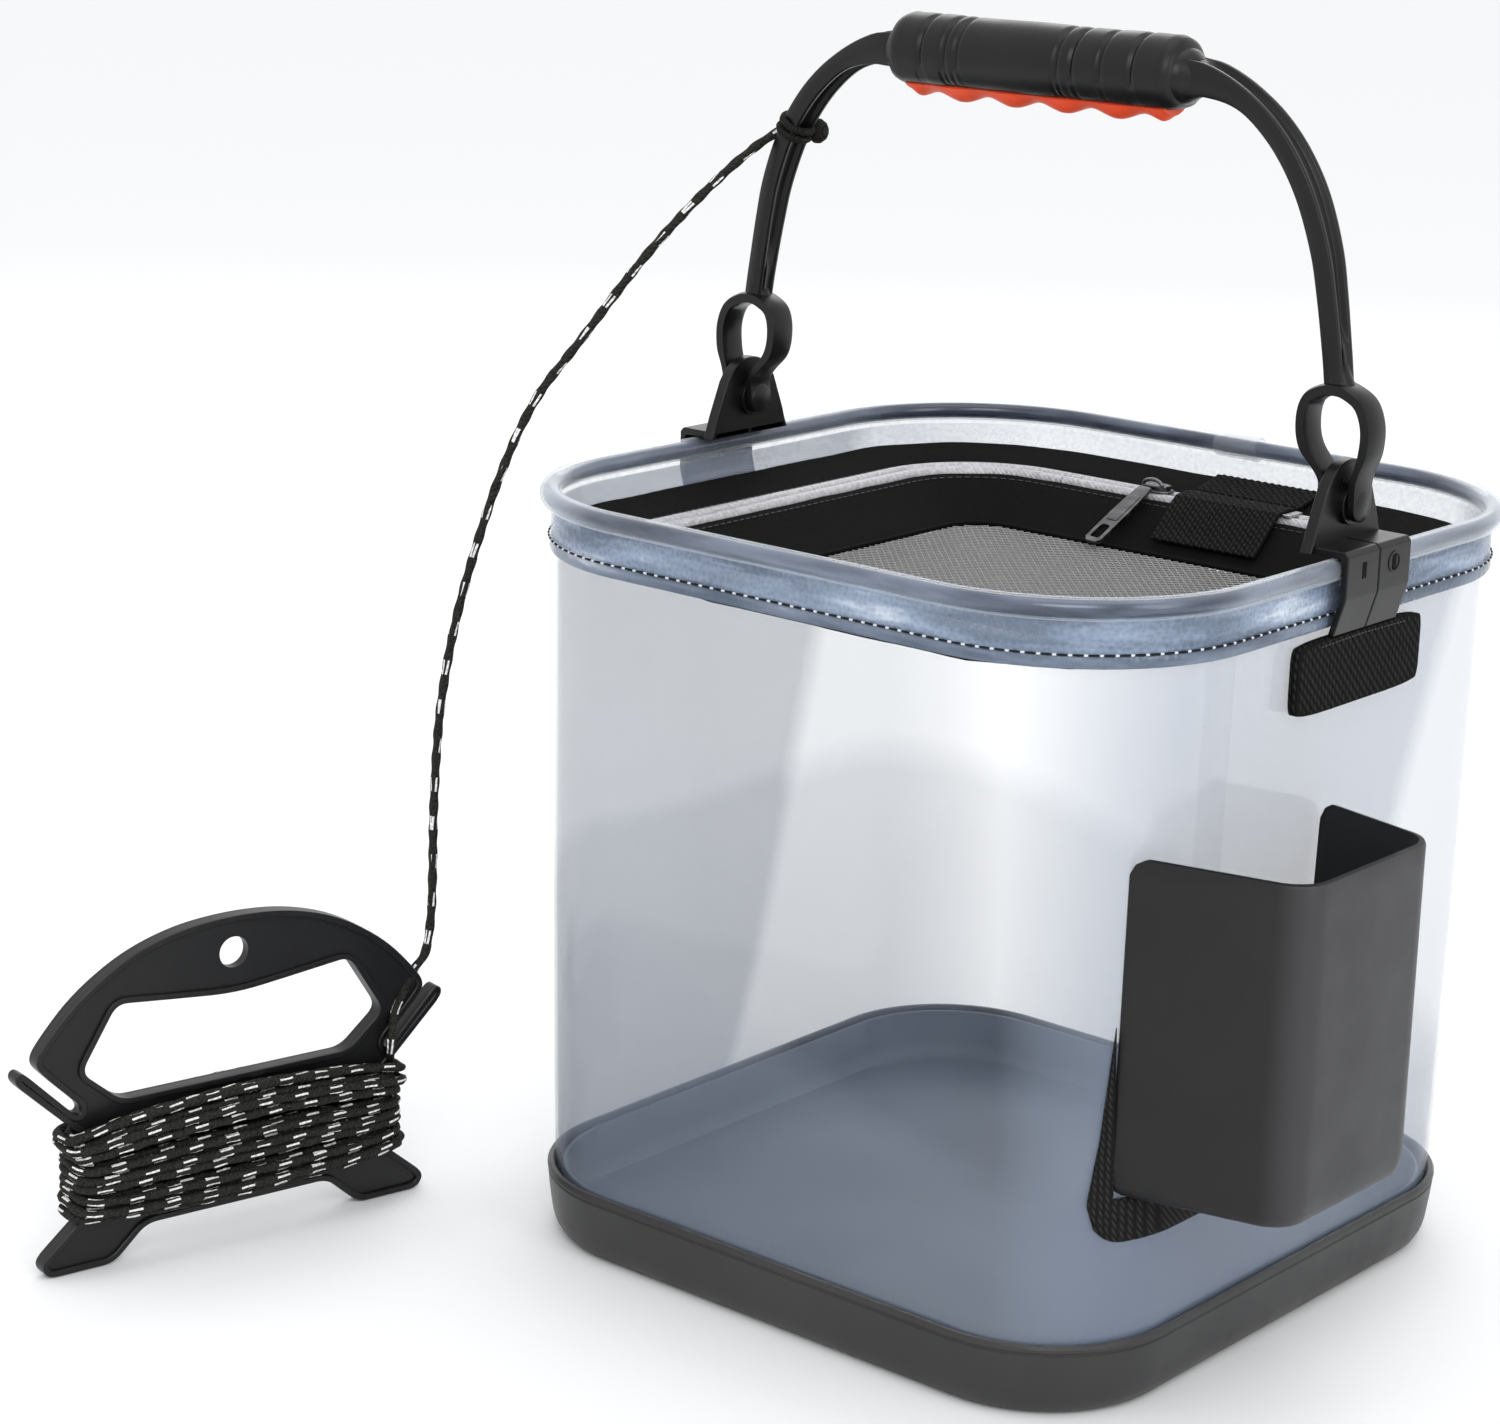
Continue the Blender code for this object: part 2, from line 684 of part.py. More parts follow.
def build_bail(made):
    black = made["moulded"]
    route = arch_points()
    rings = []
    count = len(route)
    for index, (x, z) in enumerate(route):
        before = route[max(index - 1, 0)]
        after = route[min(index + 1, count - 1)]
        along = Vector((after[0] - before[0], 0.0, after[1] - before[1])).normalized()
        across = Vector((along.z, 0.0, -along.x))
        is_plain = index < 2 or index > count - 3 or abs(x) < GRIP_HALF + 0.004
        ring = []
        for side, y in beam_section(is_plain):
            ring.append((x + across.x * side, y, z + across.z * side))
        rings.append(ring)
    bail = capped_object("bail", rings, black, (0.0, 0.0, PIVOT_Z), smooth=False)
    for side, name in ((1, "near"), (-1, "far")):
        fork = prism_along_y(
            "fork_part_" + name, mirrored(fork_outline(), side), -LEG_HALF_Y, LEG_HALF_Y, black
        )
        boolean(bail, fork, "UNION")
        for edge, inner in (("outer", PIVOT_X + LEG_INNER), ("inner", PIVOT_X - LEG_INNER - LEG_THICK)):
            low, high = sorted((side * inner, side * (inner + LEG_THICK)))
            eye = cylinder_along_x(f"eye_part_{name}_{edge}", low, high, 0.0, PIVOT_Z, LEG_HALF_Y, black, 20)
            boolean(bail, eye, "UNION")
        centre = side * PIVOT_X
        reach = LEG_INNER + PIN_DEPTH + GAP
        bore = cylinder_along_x(
            "fork_bore_cutter_" + name, centre - reach, centre + reach, 0.0, PIVOT_Z, PIN_BORE, black, 16
        )
        boolean(bail, bore, "DIFFERENCE")


GRIP_PROFILE = (
    (-GRIP_HALF, GRIP_BORE),
    (-GRIP_HALF, 0.0085),
    (-GRIP_HALF + 0.0012, 0.0108),
    (-GRIP_HALF + 0.0040, GRIP_RADIUS),
    (-0.0420, GRIP_RADIUS),
    (-0.0412, GRIP_RADIUS - 0.0009),
    (-0.0404, GRIP_RADIUS),
    (-0.0310, GRIP_RADIUS),
    (-0.0302, GRIP_RADIUS - 0.0009),
    (-0.0294, GRIP_RADIUS),
    (0.0294, GRIP_RADIUS),
    (0.0302, GRIP_RADIUS - 0.0009),
    (0.0310, GRIP_RADIUS),
    (0.0404, GRIP_RADIUS),
    (0.0412, GRIP_RADIUS - 0.0009),
    (0.0420, GRIP_RADIUS),
    (GRIP_HALF - 0.0040, GRIP_RADIUS),
    (GRIP_HALF - 0.0012, 0.0108),
    (GRIP_HALF, 0.0085),
    (GRIP_HALF, GRIP_BORE),
)


def build_grip(made):
    rings = []
    for x, radius in GRIP_PROFILE:
        ring = []
        for step in range(18):
            angle = 2.0 * math.pi * step / 18
            ring.append((x, radius * math.cos(angle), GRIP_Z + radius * math.sin(angle)))
        rings.append(ring)
    grip = shell_object("grip", rings, made["grip"])
    half = 0.0500
    slot_points = ((-0.0058, GRIP_Z - 0.02), (0.0058, GRIP_Z - 0.02), (0.0058, GRIP_Z - 0.0094))
    slot_points += ((-0.0058, GRIP_Z - 0.0094),)
    slot = prism_along_x("grip_slot_cutter", slot_points, -half - GAP, half + GAP, made["grip"])
    boolean(grip, slot, "DIFFERENCE")
    wave = []
    count = 30
    for step in range(count + 1):
        x = -half + 2.0 * half * step / count
        depth = 0.0022 + 0.0013 * math.cos(2.0 * math.pi * 5.0 * step / count)
        ends = min(1.0, 4.0 * (1.0 - abs(x) / half) + 0.2)
        wave.append((x, GRIP_Z - GRIP_RADIUS - depth * ends))
    outline = wave + [(half, GRIP_Z - 0.0097), (-half, GRIP_Z - 0.0097)]
    prism_along_y("grip_insert", outline, -0.0055, 0.0055, made["orange"])


def winder_place(along, up, out=0.0):
    """A point of the winder's own plane in the world."""
    normal = Vector((WINDER_ALONG.y, -WINDER_ALONG.x, 0.0))
    return WINDER_MID + WINDER_ALONG * along + normal * out + Vector((0.0, 0.0, up))


WINDER_HALF = (
    (0.0, 0.1115),
    (0.0200, 0.1100),
    (0.0390, 0.1042),
    (0.0570, 0.0928),
    (0.0700, 0.0785),
    (0.0720, 0.0740),
    (0.0700, 0.0705),
    (0.0555, 0.0560),
    (0.0575, 0.0532),
    (0.0765, 0.0725),
    (0.0790, 0.0715),
    (0.0790, 0.0685),
    (0.0560, 0.0462),
    (0.0510, 0.0420),
    (0.0510, 0.0230),
    (0.0710, 0.0060),
    (0.0715, 0.0030),
    (0.0690, 0.0),
    (0.0460, 0.0),
    (0.0340, 0.0110),
    (0.0, 0.0110),
)


def winder_prism(name, points, low, high, made):
    outline = []
    for along, up in points:
        outline.append((winder_place(along, up, low), winder_place(along, up, high)))
    return prism_object(name, outline, made, WINDER_MID)


def build_winder(made):
    half = 0.5 * WINDER_THICK
    left = [(-along, up) for along, up in reversed(WINDER_HALF[1:-1])]
    body = winder_prism("winder", list(WINDER_HALF) + left, -half, half, made["winder"])
    opening = (
        (-0.0560, 0.0680),
        (-0.0420, 0.0560),
        (0.0420, 0.0560),
        (0.0560, 0.0680),
        (0.0430, 0.0890),
        (0.0200, 0.0865),
        (0.0, 0.0845),
        (-0.0200, 0.0865),
        (-0.0430, 0.0890),
    )
    cutter = winder_prism("winder_hand_cutter", opening, -0.02, 0.02, made["winder"])
    boolean(body, cutter, "DIFFERENCE")
    hole = []
    for step in range(16):
        angle = 2.0 * math.pi * step / 16
        hole.append((0.0053 * math.cos(angle), 0.0985 + 0.0053 * math.sin(angle)))
    cutter = winder_prism("winder_hole_cutter", hole, -0.02, 0.02, made["winder"])
    boolean(body, cutter, "DIFFERENCE")


def rounded_power(value, power):
    """Keeps the sign of a sine or cosine while squaring off the ring that it draws."""
    return math.copysign(abs(value) ** power, value)


def build_winding(made):
    """The wound rope as one solid ring round the winder's waist."""
    rings = []
    steps = 28
    levels = (
        (0.0, 0.0248, -0.0100),
        (0.0060, 0.0205, -0.0085),
        (0.0085, 0.0235, -0.0060),
        (0.0085, 0.0380, 0.0060),
        (0.0060, 0.0415, 0.0100),
        (0.0, 0.0400, 0.0110),
    )
    for out, up, rise in levels:
        ring = []
        power = 0.30 + 30.0 * out
        for step in range(steps):
            angle = 2.0 * math.pi * step / steps
            bend = rounded_power(math.cos(angle), power)
            across = rounded_power(math.sin(angle), power) * (0.0042 + 0.75 * out)
            ring.append(winder_place(bend * (0.0525 + out), up + rise * (1.0 - bend * bend), across))
        rings.append(ring)
    shell_object("rope_winding", rings, made["rope"])


def build_rope(made):
    points = smooth_route(ROPE_ROUTE, 0.0075)
    tube_object("rope_free", [tuple(point) for point in points], ROPE_RADIUS, made["rope"])
    levels = ((-0.0040, 0.0016), (-0.0022, 0.0034), (0.0, 0.0040), (0.0022, 0.0034), (0.0040, 0.0016))
    knot = []
    for up, radius in levels:
        ring = []
        for step in range(12):
            angle = 2.0 * math.pi * step / 12
            place = KNOT_AT + Vector((radius * math.cos(angle), radius * math.sin(angle), up))
            ring.append(tuple(place))
        knot.append(ring)
    capped_object("rope_knot", knot, made["rope"])


def follow(parent, names):
    """Parents the named objects, and the helpers their Booleans use, without moving them."""
    bpy.context.view_layer.update()
    inverse = parent.matrix_world.inverted()
    for name in names:
        obj = bpy.data.objects[name]
        helpers = [modifier.object for modifier in obj.modifiers if modifier.type == "BOOLEAN"]
        for child in (obj, *helpers):
            child.parent = parent
            child.matrix_parent_inverse = inverse


def axis_empty(name, place):
    axis = bpy.data.objects.new(name, None)
    axis.location = place
    axis.empty_display_size = 0.02
    bpy.context.scene.collection.objects.link(axis)
    return axis


def hang_moving_pieces():
    """The bail turns about its pins, the lid about its rear edge; the slider and tab ride on the lid."""
    swing = axis_empty("handle_swing_axis", (0.0, 0.0, PIVOT_Z))
    follow(swing, ("bail", "grip", "grip_insert", "rope_knot"))
    lid_axis = axis_empty("lid_open_axis", LID_HINGE)
    follow(lid_axis, ("zip_strip_inner", "zip_strip_rear_outer", "zip_strip_rear_inner", "zip_end_stop"))
    follow(lid_axis, ("lid_panel", "lid_mesh", "lid_binding", "patch_lid", "zip_slider"))
    follow(bpy.data.objects["zip_slider"], ("zip_pull_tab",))


def build_materials():
    return {
        "tray": material("tray_charcoal", (0.060, 0.060, 0.063), 0.55),
        "liner": material("liner_blue_grey", (0.21, 0.25, 0.31), 0.45),
        "clear": material("wall_clear_pvc", (0.82, 0.86, 0.90), 0.20),
        "band": material("rim_band_pvc", (0.52, 0.58, 0.66), 0.30),
        "piping": material("rim_piping_pvc", (0.30, 0.36, 0.45), 0.25),
        "fabric": material("lid_fabric_black", (0.012, 0.012, 0.012), 0.90),
        "mesh": material("lid_mesh_grey", (0.28, 0.28, 0.28), 0.85),
        "webbing": material("webbing_black", (0.015, 0.015, 0.015), 0.90),
        "zip": material("zip_silver", (0.62, 0.62, 0.64), 0.35),
        "gunmetal": material("slider_gunmetal", (0.16, 0.16, 0.16), 0.30, 1.0),
        "flange": material("pouch_flange_black", (0.030, 0.030, 0.028), 0.85),
        "moulded": material("moulded_black", (0.016, 0.016, 0.017), 0.45),
        "pin": material("pin_steel", (0.55, 0.55, 0.55), 0.35, 1.0),
        "grip": material("grip_black", (0.018, 0.018, 0.018), 0.50),
        "orange": material("grip_insert_orange", (0.62, 0.09, 0.02), 0.55),
        "winder": material("winder_black", (0.020, 0.020, 0.021), 0.45),
        "rope": material("rope_black_white", (0.030, 0.030, 0.028), 0.90),
    }


def main():
    clear_scene()
    made = build_materials()
    build_base(made)
    build_wall(made)
    build_rim(made)
    build_lid(made)
    build_patch(made)
    build_slider(made)
    build_pouch(made)
    build_clip(1, "near", made)
    build_clip(-1, "far", made)
    build_bail(made)
    build_grip(made)
    build_winder(made)
    build_winding(made)
    build_rope(made)
    hang_moving_pieces()


main()
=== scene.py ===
"""Looks for the soft square bucket: its clear wall, lid, handle, pouch and the rope on its winder."""

import math

import bmesh
import bpy
import numpy as np
from mathutils import Matrix, Vector, noise


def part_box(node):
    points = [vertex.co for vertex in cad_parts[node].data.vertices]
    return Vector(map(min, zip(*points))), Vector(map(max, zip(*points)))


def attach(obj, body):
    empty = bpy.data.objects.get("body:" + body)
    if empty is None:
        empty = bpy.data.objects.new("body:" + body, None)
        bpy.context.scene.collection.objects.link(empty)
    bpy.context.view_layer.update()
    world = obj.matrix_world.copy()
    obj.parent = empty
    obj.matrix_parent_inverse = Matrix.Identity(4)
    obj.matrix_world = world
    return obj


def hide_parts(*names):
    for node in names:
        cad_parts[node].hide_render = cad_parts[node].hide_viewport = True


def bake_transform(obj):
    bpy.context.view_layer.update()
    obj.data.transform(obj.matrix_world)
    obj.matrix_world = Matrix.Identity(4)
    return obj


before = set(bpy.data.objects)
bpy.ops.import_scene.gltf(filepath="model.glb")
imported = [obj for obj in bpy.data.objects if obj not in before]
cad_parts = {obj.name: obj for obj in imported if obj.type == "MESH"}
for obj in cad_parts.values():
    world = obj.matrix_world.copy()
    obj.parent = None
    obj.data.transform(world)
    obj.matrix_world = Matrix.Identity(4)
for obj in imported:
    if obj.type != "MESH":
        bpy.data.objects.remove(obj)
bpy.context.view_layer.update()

# Driving sizes, from the frame
TRAY_HALF, _, TRAY_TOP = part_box("base_tray")[1]
FLOOR_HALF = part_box("floor_pan")[1].x
WALL_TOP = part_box("wall_clear")[1].z
BAND_LOW, BAND_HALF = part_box("rim_band")[0].z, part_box("rim_band")[1].x
PIPING_LOW, PIPING_HIGH = (corner.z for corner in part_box("rim_piping"))
PIPING_RADIUS = 0.5 * (PIPING_HIGH - PIPING_LOW)
PIPING_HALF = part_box("rim_piping")[1].x - PIPING_RADIUS
PIPING_Z = 0.5 * (PIPING_LOW + PIPING_HIGH)
POUCH_LOW, POUCH_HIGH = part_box("pouch")
PAD_LOW, PAD_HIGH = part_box("clip_pad_near")
PLATE_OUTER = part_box("clip_bracket_near")[1].x
GRIP_HALF, GRIP_RADIUS, GRIP_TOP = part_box("grip")[1]
GRIP_Z = GRIP_TOP - GRIP_RADIUS

# Sizes that the frame's boxes can't give, in metres. A square's half width goes with its corner radius.
LID_HALF, LID_CORNER = 0.1246, 0.0615
TRAY_CORNER, BAND_CORNER, PIPING_CORNER = 0.0475, 0.0628, 0.064
CORNER_STEPS = 16
WALL_THICK = 0.001
WALL_STATIONS = (  # height, half width, corner
    (0.0065, 0.1174, 0.045), (0.0245, 0.118, 0.0455), (0.07, 0.1196, 0.0487), (0.12, 0.1212, 0.052),
    (0.178, 0.1227, 0.0563), (0.23, 0.124, 0.06), (WALL_TOP, 0.1246, 0.0615),
)
MESH_HALF, NET_PITCH = 0.0782, 0.0031
ZIP_LINE, ZIP_RUN_HALF = 0.1013, 0.054
PATCH_LOW_X, PATCH_HIGH_X = -0.005, 0.037
SLIDER_X = -0.017
TAB_HINGE = Vector((SLIDER_X, 0.0952, 0.2392))
TAB_LENGTH = 0.029
TAB_SLOPE, TAB_TURN = math.radians(35.0), math.radians(15.0)
POUCH_THICK = 0.0022
PIVOT_X, PIVOT_Z = 0.1185, 0.269
TONGUE_THICK, LEG_THICK, LEG_INNER, LEG_HALF_Y = 0.004, 0.003, 0.0041, 0.005
PLATE_THICK, PLATE_HALF_Y, SHOULDER_TOP = 0.0022, 0.018, 0.2586
ARCH_ROUTE = (  # x, z along one arm of the bail
    (0.115, 0.299), (0.114, 0.306), (0.1128, 0.314), (0.1098, 0.331), (0.1068, 0.344), (0.101, 0.359),
    (0.0935, 0.371), (0.085, 0.38), (0.076, 0.3862), (0.066, 0.3898), (0.056, GRIP_Z), (0.02, GRIP_Z),
)
WINDER_MID = Vector((-0.1794, -0.1813, 0.0))
WINDER_ALONG = Vector((0.22133, 0.9752, 0.0))
WINDER_OUT = Vector((WINDER_ALONG.y, -WINDER_ALONG.x, 0.0))
WINDER_THICK = 0.006
WINDER_HALF = (  # along, up: one half of the winder's outline
    (0.0, 0.1115), (0.02, 0.11), (0.039, 0.1042), (0.057, 0.0928), (0.07, 0.0785), (0.072, 0.074),
    (0.07, 0.0705), (0.0555, 0.056), (0.0575, 0.0532), (0.0765, 0.0725), (0.079, 0.0715),
    (0.079, 0.0685), (0.056, 0.0462), (0.051, 0.042), (0.051, 0.023), (0.071, 0.006),
    (0.0715, 0.003), (0.069, 0.0), (0.046, 0.0), (0.034, 0.011), (0.0, 0.011),
)
WINDER_OPENING = (
    (-0.056, 0.068), (-0.042, 0.056), (0.042, 0.056), (0.056, 0.068), (0.043, 0.089),
    (0.02, 0.0865), (0.0, 0.0845), (-0.02, 0.0865), (-0.043, 0.089),
)
ROPE_RADIUS, ROPE_SIDES = 0.0015, 10
ROPE_LAYERS = (9, 9, 7)
KNOT_AT = Vector((-0.0985, 0.0098, 0.36))
ROPE_ROUTE = (
    (-0.1049, 0.0002, 0.3612), (-0.1108, -0.0112, 0.3532), (-0.1188, -0.0265, 0.3385),
    (-0.1278, -0.0438, 0.3185), (-0.1372, -0.062, 0.2935), (-0.1446, -0.0763, 0.2735),
    (-0.15, -0.0866, 0.25), (-0.1544, -0.0952, 0.222), (-0.1576, -0.1014, 0.196),
    (-0.1597, -0.1055, 0.168), (-0.1606, -0.1072, 0.138), (-0.1608, -0.1076, 0.112),
    (-0.1611, -0.1082, 0.096), (-0.162, -0.1098, 0.0845), (-0.1636, -0.113, 0.0795),
)


# ---------------------------------------------------------------- camera, light and floor


def put_in_scene(name, data):
    obj = bpy.data.objects.new(name, data)
    bpy.context.scene.collection.objects.link(obj)
    return obj


def build_camera():
    azimuth, pitch, roll = math.radians(40.31), math.radians(15.3), math.radians(1.51)
    forward = Vector(
        (-math.sin(azimuth) * math.cos(pitch), math.cos(azimuth) * math.cos(pitch), -math.sin(pitch))
    )
    level = Vector((math.cos(azimuth), math.sin(azimuth), 0.0))
    upright = level.cross(forward)
    right = math.cos(roll) * level + math.sin(roll) * upright
    up = math.cos(roll) * upright - math.sin(roll) * level
    data = bpy.data.cameras.new("camera")
    data.lens, data.sensor_width = 86.66, 36.0
    data.clip_start, data.clip_end = 0.05, 20.0
    camera = put_in_scene("camera", data)
    turned = Matrix((right, up, -forward)).transposed().to_4x4()
    camera.matrix_world = Matrix.Translation((0.6727, -0.9263, 0.4903)) @ turned
    bpy.context.scene.camera = camera


def area_light(name, place, size, power):
    data = bpy.data.lights.new(name, "AREA")
    data.shape = "RECTANGLE"
    data.size, data.size_y = size
    data.energy = power
    light = put_in_scene(name, data)
    light.location = place
    bucket_middle = Vector((0.0, 0.0, 0.15))
    light.rotation_euler = (bucket_middle - Vector(place)).to_track_quat("-Z", "Y").to_euler()


def build_studio():
    world = bpy.data.worlds.new("studio")
    world.use_nodes = True
    world.node_tree.nodes["Background"].inputs["Color"].default_value = (1.0, 1.0, 1.0, 1.0)
    world.node_tree.nodes["Background"].inputs["Strength"].default_value = 1.0
    bpy.context.scene.world = world
    area_light("key_light", (0.95, -1.25, 1.35), (0.8, 0.8), 8.5)
    area_light("side_light", (1.55, -0.25, 0.85), (0.5, 1.2), 4.5)
    area_light("back_light", (-0.9, 1.3, 1.1), (1.2, 0.8), 5.0)
    area_light("top_light", (0.1, 0.1, 1.7), (1.0, 1.0), 3.0)
    bpy.context.scene.view_settings.view_transform = "Standard"
    bpy.ops.mesh.primitive_plane_add(size=40.0, location=(0.0, 0.0, -0.0003))
    floor = bpy.context.object
    floor.name = "studio_floor"
    pale = bpy.data.materials.new("floor_pale")
    pale.use_nodes = True
    shader = pale.node_tree.nodes["Principled BSDF"]
    shader.inputs["Base Color"].default_value = (0.92, 0.93, 0.94, 1.0)
    shader.inputs["Roughness"].default_value = 0.9
    floor.data.materials.append(pale)


# ---------------------------------------------------------------- materials


class Finish:
    """A Principled material with short calls for the nodes that vary it over the surface."""

    def __init__(self, name, roughness, metallic=0.0, specular=0.5):
        self.made = bpy.data.materials.new(name)
        self.made.use_nodes = True
        self.tree = self.made.node_tree
        self.shader = self.tree.nodes["Principled BSDF"]
        self.shader.inputs["Roughness"].default_value = roughness
        self.shader.inputs["Metallic"].default_value = metallic
        self.shader.inputs["Specular IOR Level"].default_value = specular
        self.place = self.node("TexCoord")["Object"]

    def node(self, kind, inputs=None, **settings):
        """Adds a node and returns its outputs; an input is a value or another node's output."""
        node = self.tree.nodes.new("ShaderNode" + kind)
        for key, value in settings.items():
            setattr(node, key, value)
        for socket, value in (inputs or {}).items():
            if isinstance(value, bpy.types.NodeSocket):
                self.tree.links.new(value, node.inputs[socket])
            else:
                node.inputs[socket].default_value = value
        return node.outputs

    def noise(self, scale, detail=3.0, stretch=(1.0, 1.0, 1.0)):
        place = self.node("Mapping", {"Scale": stretch, "Vector": self.place})["Vector"]
        inputs = {"Scale": scale, "Detail": detail, "Roughness": 0.55, "Vector": place}
        return self.node("TexNoise", inputs)["Fac"]

    def waves(self, scale, axis, distortion=0.0):
        inputs = {"Scale": scale, "Distortion": distortion, "Vector": self.place}
        return self.node("TexWave", inputs, bands_direction=axis)["Fac"]

    def axes(self, vector):
        return self.node("SeparateXYZ", {"Vector": vector})

    def facing(self):
        """The surface's own direction, which doesn't depend on the view."""
        return self.axes(self.node("TexCoord")["Normal"])

    def edge_on(self, blend, power):
        weight = self.node("LayerWeight", {"Blend": blend})["Facing"]
        return self.math("POWER", weight, power)

    def math(self, operation, first, second=0.5):
        return self.node("Math", {0: first, 1: second, 2: 0.0}, operation=operation)[0]

    def plus(self, first, second):
        return self.math("ADD", first, second)

    def times(self, first, second):
        return self.math("MULTIPLY", first, second)

    def level(self, source, low, high, start=0.0, end=1.0):
        inputs = {"From Min": start, "From Max": end, "To Min": low, "To Max": high, "Value": source}
        return self.node("MapRange", inputs)["Result"]

    def ramp(self, source, *stops):
        node = self.tree.nodes.new("ShaderNodeValToRGB")
        elements = node.color_ramp.elements
        while len(elements) < len(stops):
            elements.new(0.5)
        for element, (position, colour) in zip(elements, stops):
            element.position = position
            element.color = (*colour, 1.0)
        self.tree.links.new(source, node.inputs["Fac"])
        return node.outputs["Color"]

    def drive(self, socket, source):
        self.tree.links.new(source, self.shader.inputs[socket])

    def colour(self, source, *stops):
        self.drive("Base Color", self.ramp(source, *stops))

    def rough(self, source, low, high):
        self.drive("Roughness", self.level(source, low, high, 0.3, 0.7))

    def bump(self, source, distance, strength, before=None):
        inputs = {"Strength": strength, "Distance": distance, "Height": source}
        if before:
            inputs["Normal"] = before
        normal = self.node("Bump", inputs)["Normal"]
        self.drive("Normal", normal)
        return normal


def plastic(name, dark, light, low_rough, high_rough, grain=1400.0, depth=0.00004, specular=0.5):
    """Moulded plastic: a fine cast grain, a slow change of shade and slightly uneven gloss."""
    finish = Finish(name, low_rough, specular=specular)
    finish.colour(finish.noise(14.0, 4.0), (0.3, dark), (0.7, light))
    finish.rough(finish.noise(55.0, 5.0), low_rough, high_rough)
    finish.bump(finish.noise(grain, 2.0), depth, 0.5)
    return finish.made


def pouch_plastic(name):
    """The pouch's moulding: charcoal on its outer face, and nearly black in its folded sides as painted
    shade that follows which way each face turns.
    """
    finish = Finish(name, 0.45, specular=0.3)
    # painted shade: the colour darkens on faces turned away from +X, plus a slow random tone
    uneven = finish.plus(finish.facing()["X"], finish.times(finish.noise(22.0), 0.16))
    finish.colour(uneven, (0.25, (0.008, 0.008, 0.0085)), (0.92, (0.036, 0.036, 0.038)))
    finish.rough(finish.noise(55.0, 5.0), 0.4, 0.55)
    finish.bump(finish.noise(1100.0, 2.0), 0.00004, 0.5)
    return finish.made


def woven(name, dark, light, pitch, depth, rough=0.9):
    """Plain weave: crossing threads a pitch apart, with flecks of lighter fibre."""
    finish = Finish(name, rough, specular=0.12)
    scale = 0.314 / pitch
    threads = finish.times(finish.waves(scale, "DIAGONAL", 0.6), finish.waves(scale, "X", 0.6))
    flecks = finish.noise(900.0, 2.0)
    mixed = finish.plus(finish.times(threads, 0.7), finish.times(flecks, 0.3))
    finish.colour(mixed, (0.15, dark), (0.75, light))
    finish.bump(threads, depth, 0.8)
    return finish.made


def clear_sheet(name, tint, low_alpha, high_alpha, rough, blend=0.32, falloff=1.0):
    """Thin clear vinyl: nearly invisible head on, denser where it is seen edge on, faintly rippled."""
    finish = Finish(name, rough, specular=0.6)
    ripple = finish.noise(7.0, 2.0)
    finish.colour(ripple, (0.3, tuple(0.86 * c for c in tint)), (0.7, tint))
    finish.drive("Alpha", finish.level(finish.edge_on(blend, falloff), low_alpha, high_alpha))
    finish.bump(ripple, 0.0012, 0.25)
    finish.rough(finish.noise(30.0, 3.0), rough, rough + 0.05)
    return finish.made


def wall_vinyl(name):
    """The clear wall: soft broad blue-grey tones, a painted reflection over the +X face broken by a lighter
    painted highlight streak, and darker towards the base.
    """
    finish = Finish(name, 0.07, specular=0.6)
    place = finish.axes(finish.place)
    # painted reflection: faces turned towards +X are tinted a stronger blue-grey and made denser
    side = finish.level(finish.facing()["X"], 0.0, 1.15, 0.3, 0.95)
    ripple = finish.noise(5.0, 1.5)
    slant = finish.plus(place["Z"], finish.times(place["X"], 0.22))
    low = finish.level(finish.plus(slant, finish.times(ripple, 0.03)), 1.0, 0.0, 0.105, 0.12)
    # painted highlight: a lighter slanted streak that thins the painted reflection
    streak = finish.plus(place["Y"], finish.times(place["Z"], -0.32))
    painted_highlight = finish.level(finish.plus(streak, finish.times(ripple, 0.035)), 0.0, 1.0, -0.002, 0.01)
    painted_reflection = finish.times(side, finish.level(painted_highlight, 1.0, 0.45))
    tone_with_painted_light = finish.plus(finish.times(painted_reflection, 0.75), finish.times(low, 0.25))
    finish.colour(tone_with_painted_light, (0.0, (0.3, 0.35, 0.43)), (1.0, (0.17, 0.21, 0.29)))
    rim = finish.times(finish.edge_on(0.25, 3.0), 0.25)
    finish.drive("Alpha", finish.plus(finish.level(tone_with_painted_light, 0.035, 0.42), rim))
    finish.bump(finish.noise(7.0, 2.0), 0.0012, 0.25)
    finish.rough(finish.noise(30.0, 3.0), 0.06, 0.11)
    return finish.made


def band_vinyl(name, tint, alpha):
    """Thicker embossed vinyl of the rim, streaked on the two near sides; on the rest it is clearer and
    painted paler, a painted reflection.
    """
    finish = Finish(name, 0.14)
    place = finish.axes(finish.place)
    # painted reflection: away from the two near sides the colour is painted paler and the alpha lower
    near = finish.level(finish.math("SUBTRACT", place["X"], place["Y"]), 0.0, 1.0, -0.03, 0.03)
    grain = finish.node("TexVoronoi", {"Scale": 640.0, "Vector": finish.place})["Distance"]
    streaks = finish.noise(30.0, 4.0, (0.55, 0.55, 3.4))
    middle = tuple(1.5 * c + 0.07 for c in tint)
    tone_with_painted_light = finish.plus(streaks, finish.level(near, 0.22, 0.0))
    finish.colour(tone_with_painted_light, (0.42, tint), (0.6, middle), (0.78, (0.8, 0.85, 0.92)))
    finish.rough(streaks, 0.1, 0.26)
    finish.bump(grain, 0.0004, 0.45)
    body = finish.level(finish.plus(streaks, finish.times(grain, 0.4)), alpha, 1.0, 0.35, 0.95)
    finish.drive("Alpha", finish.times(body, finish.level(near, 0.3, 1.0)))
    return finish.made


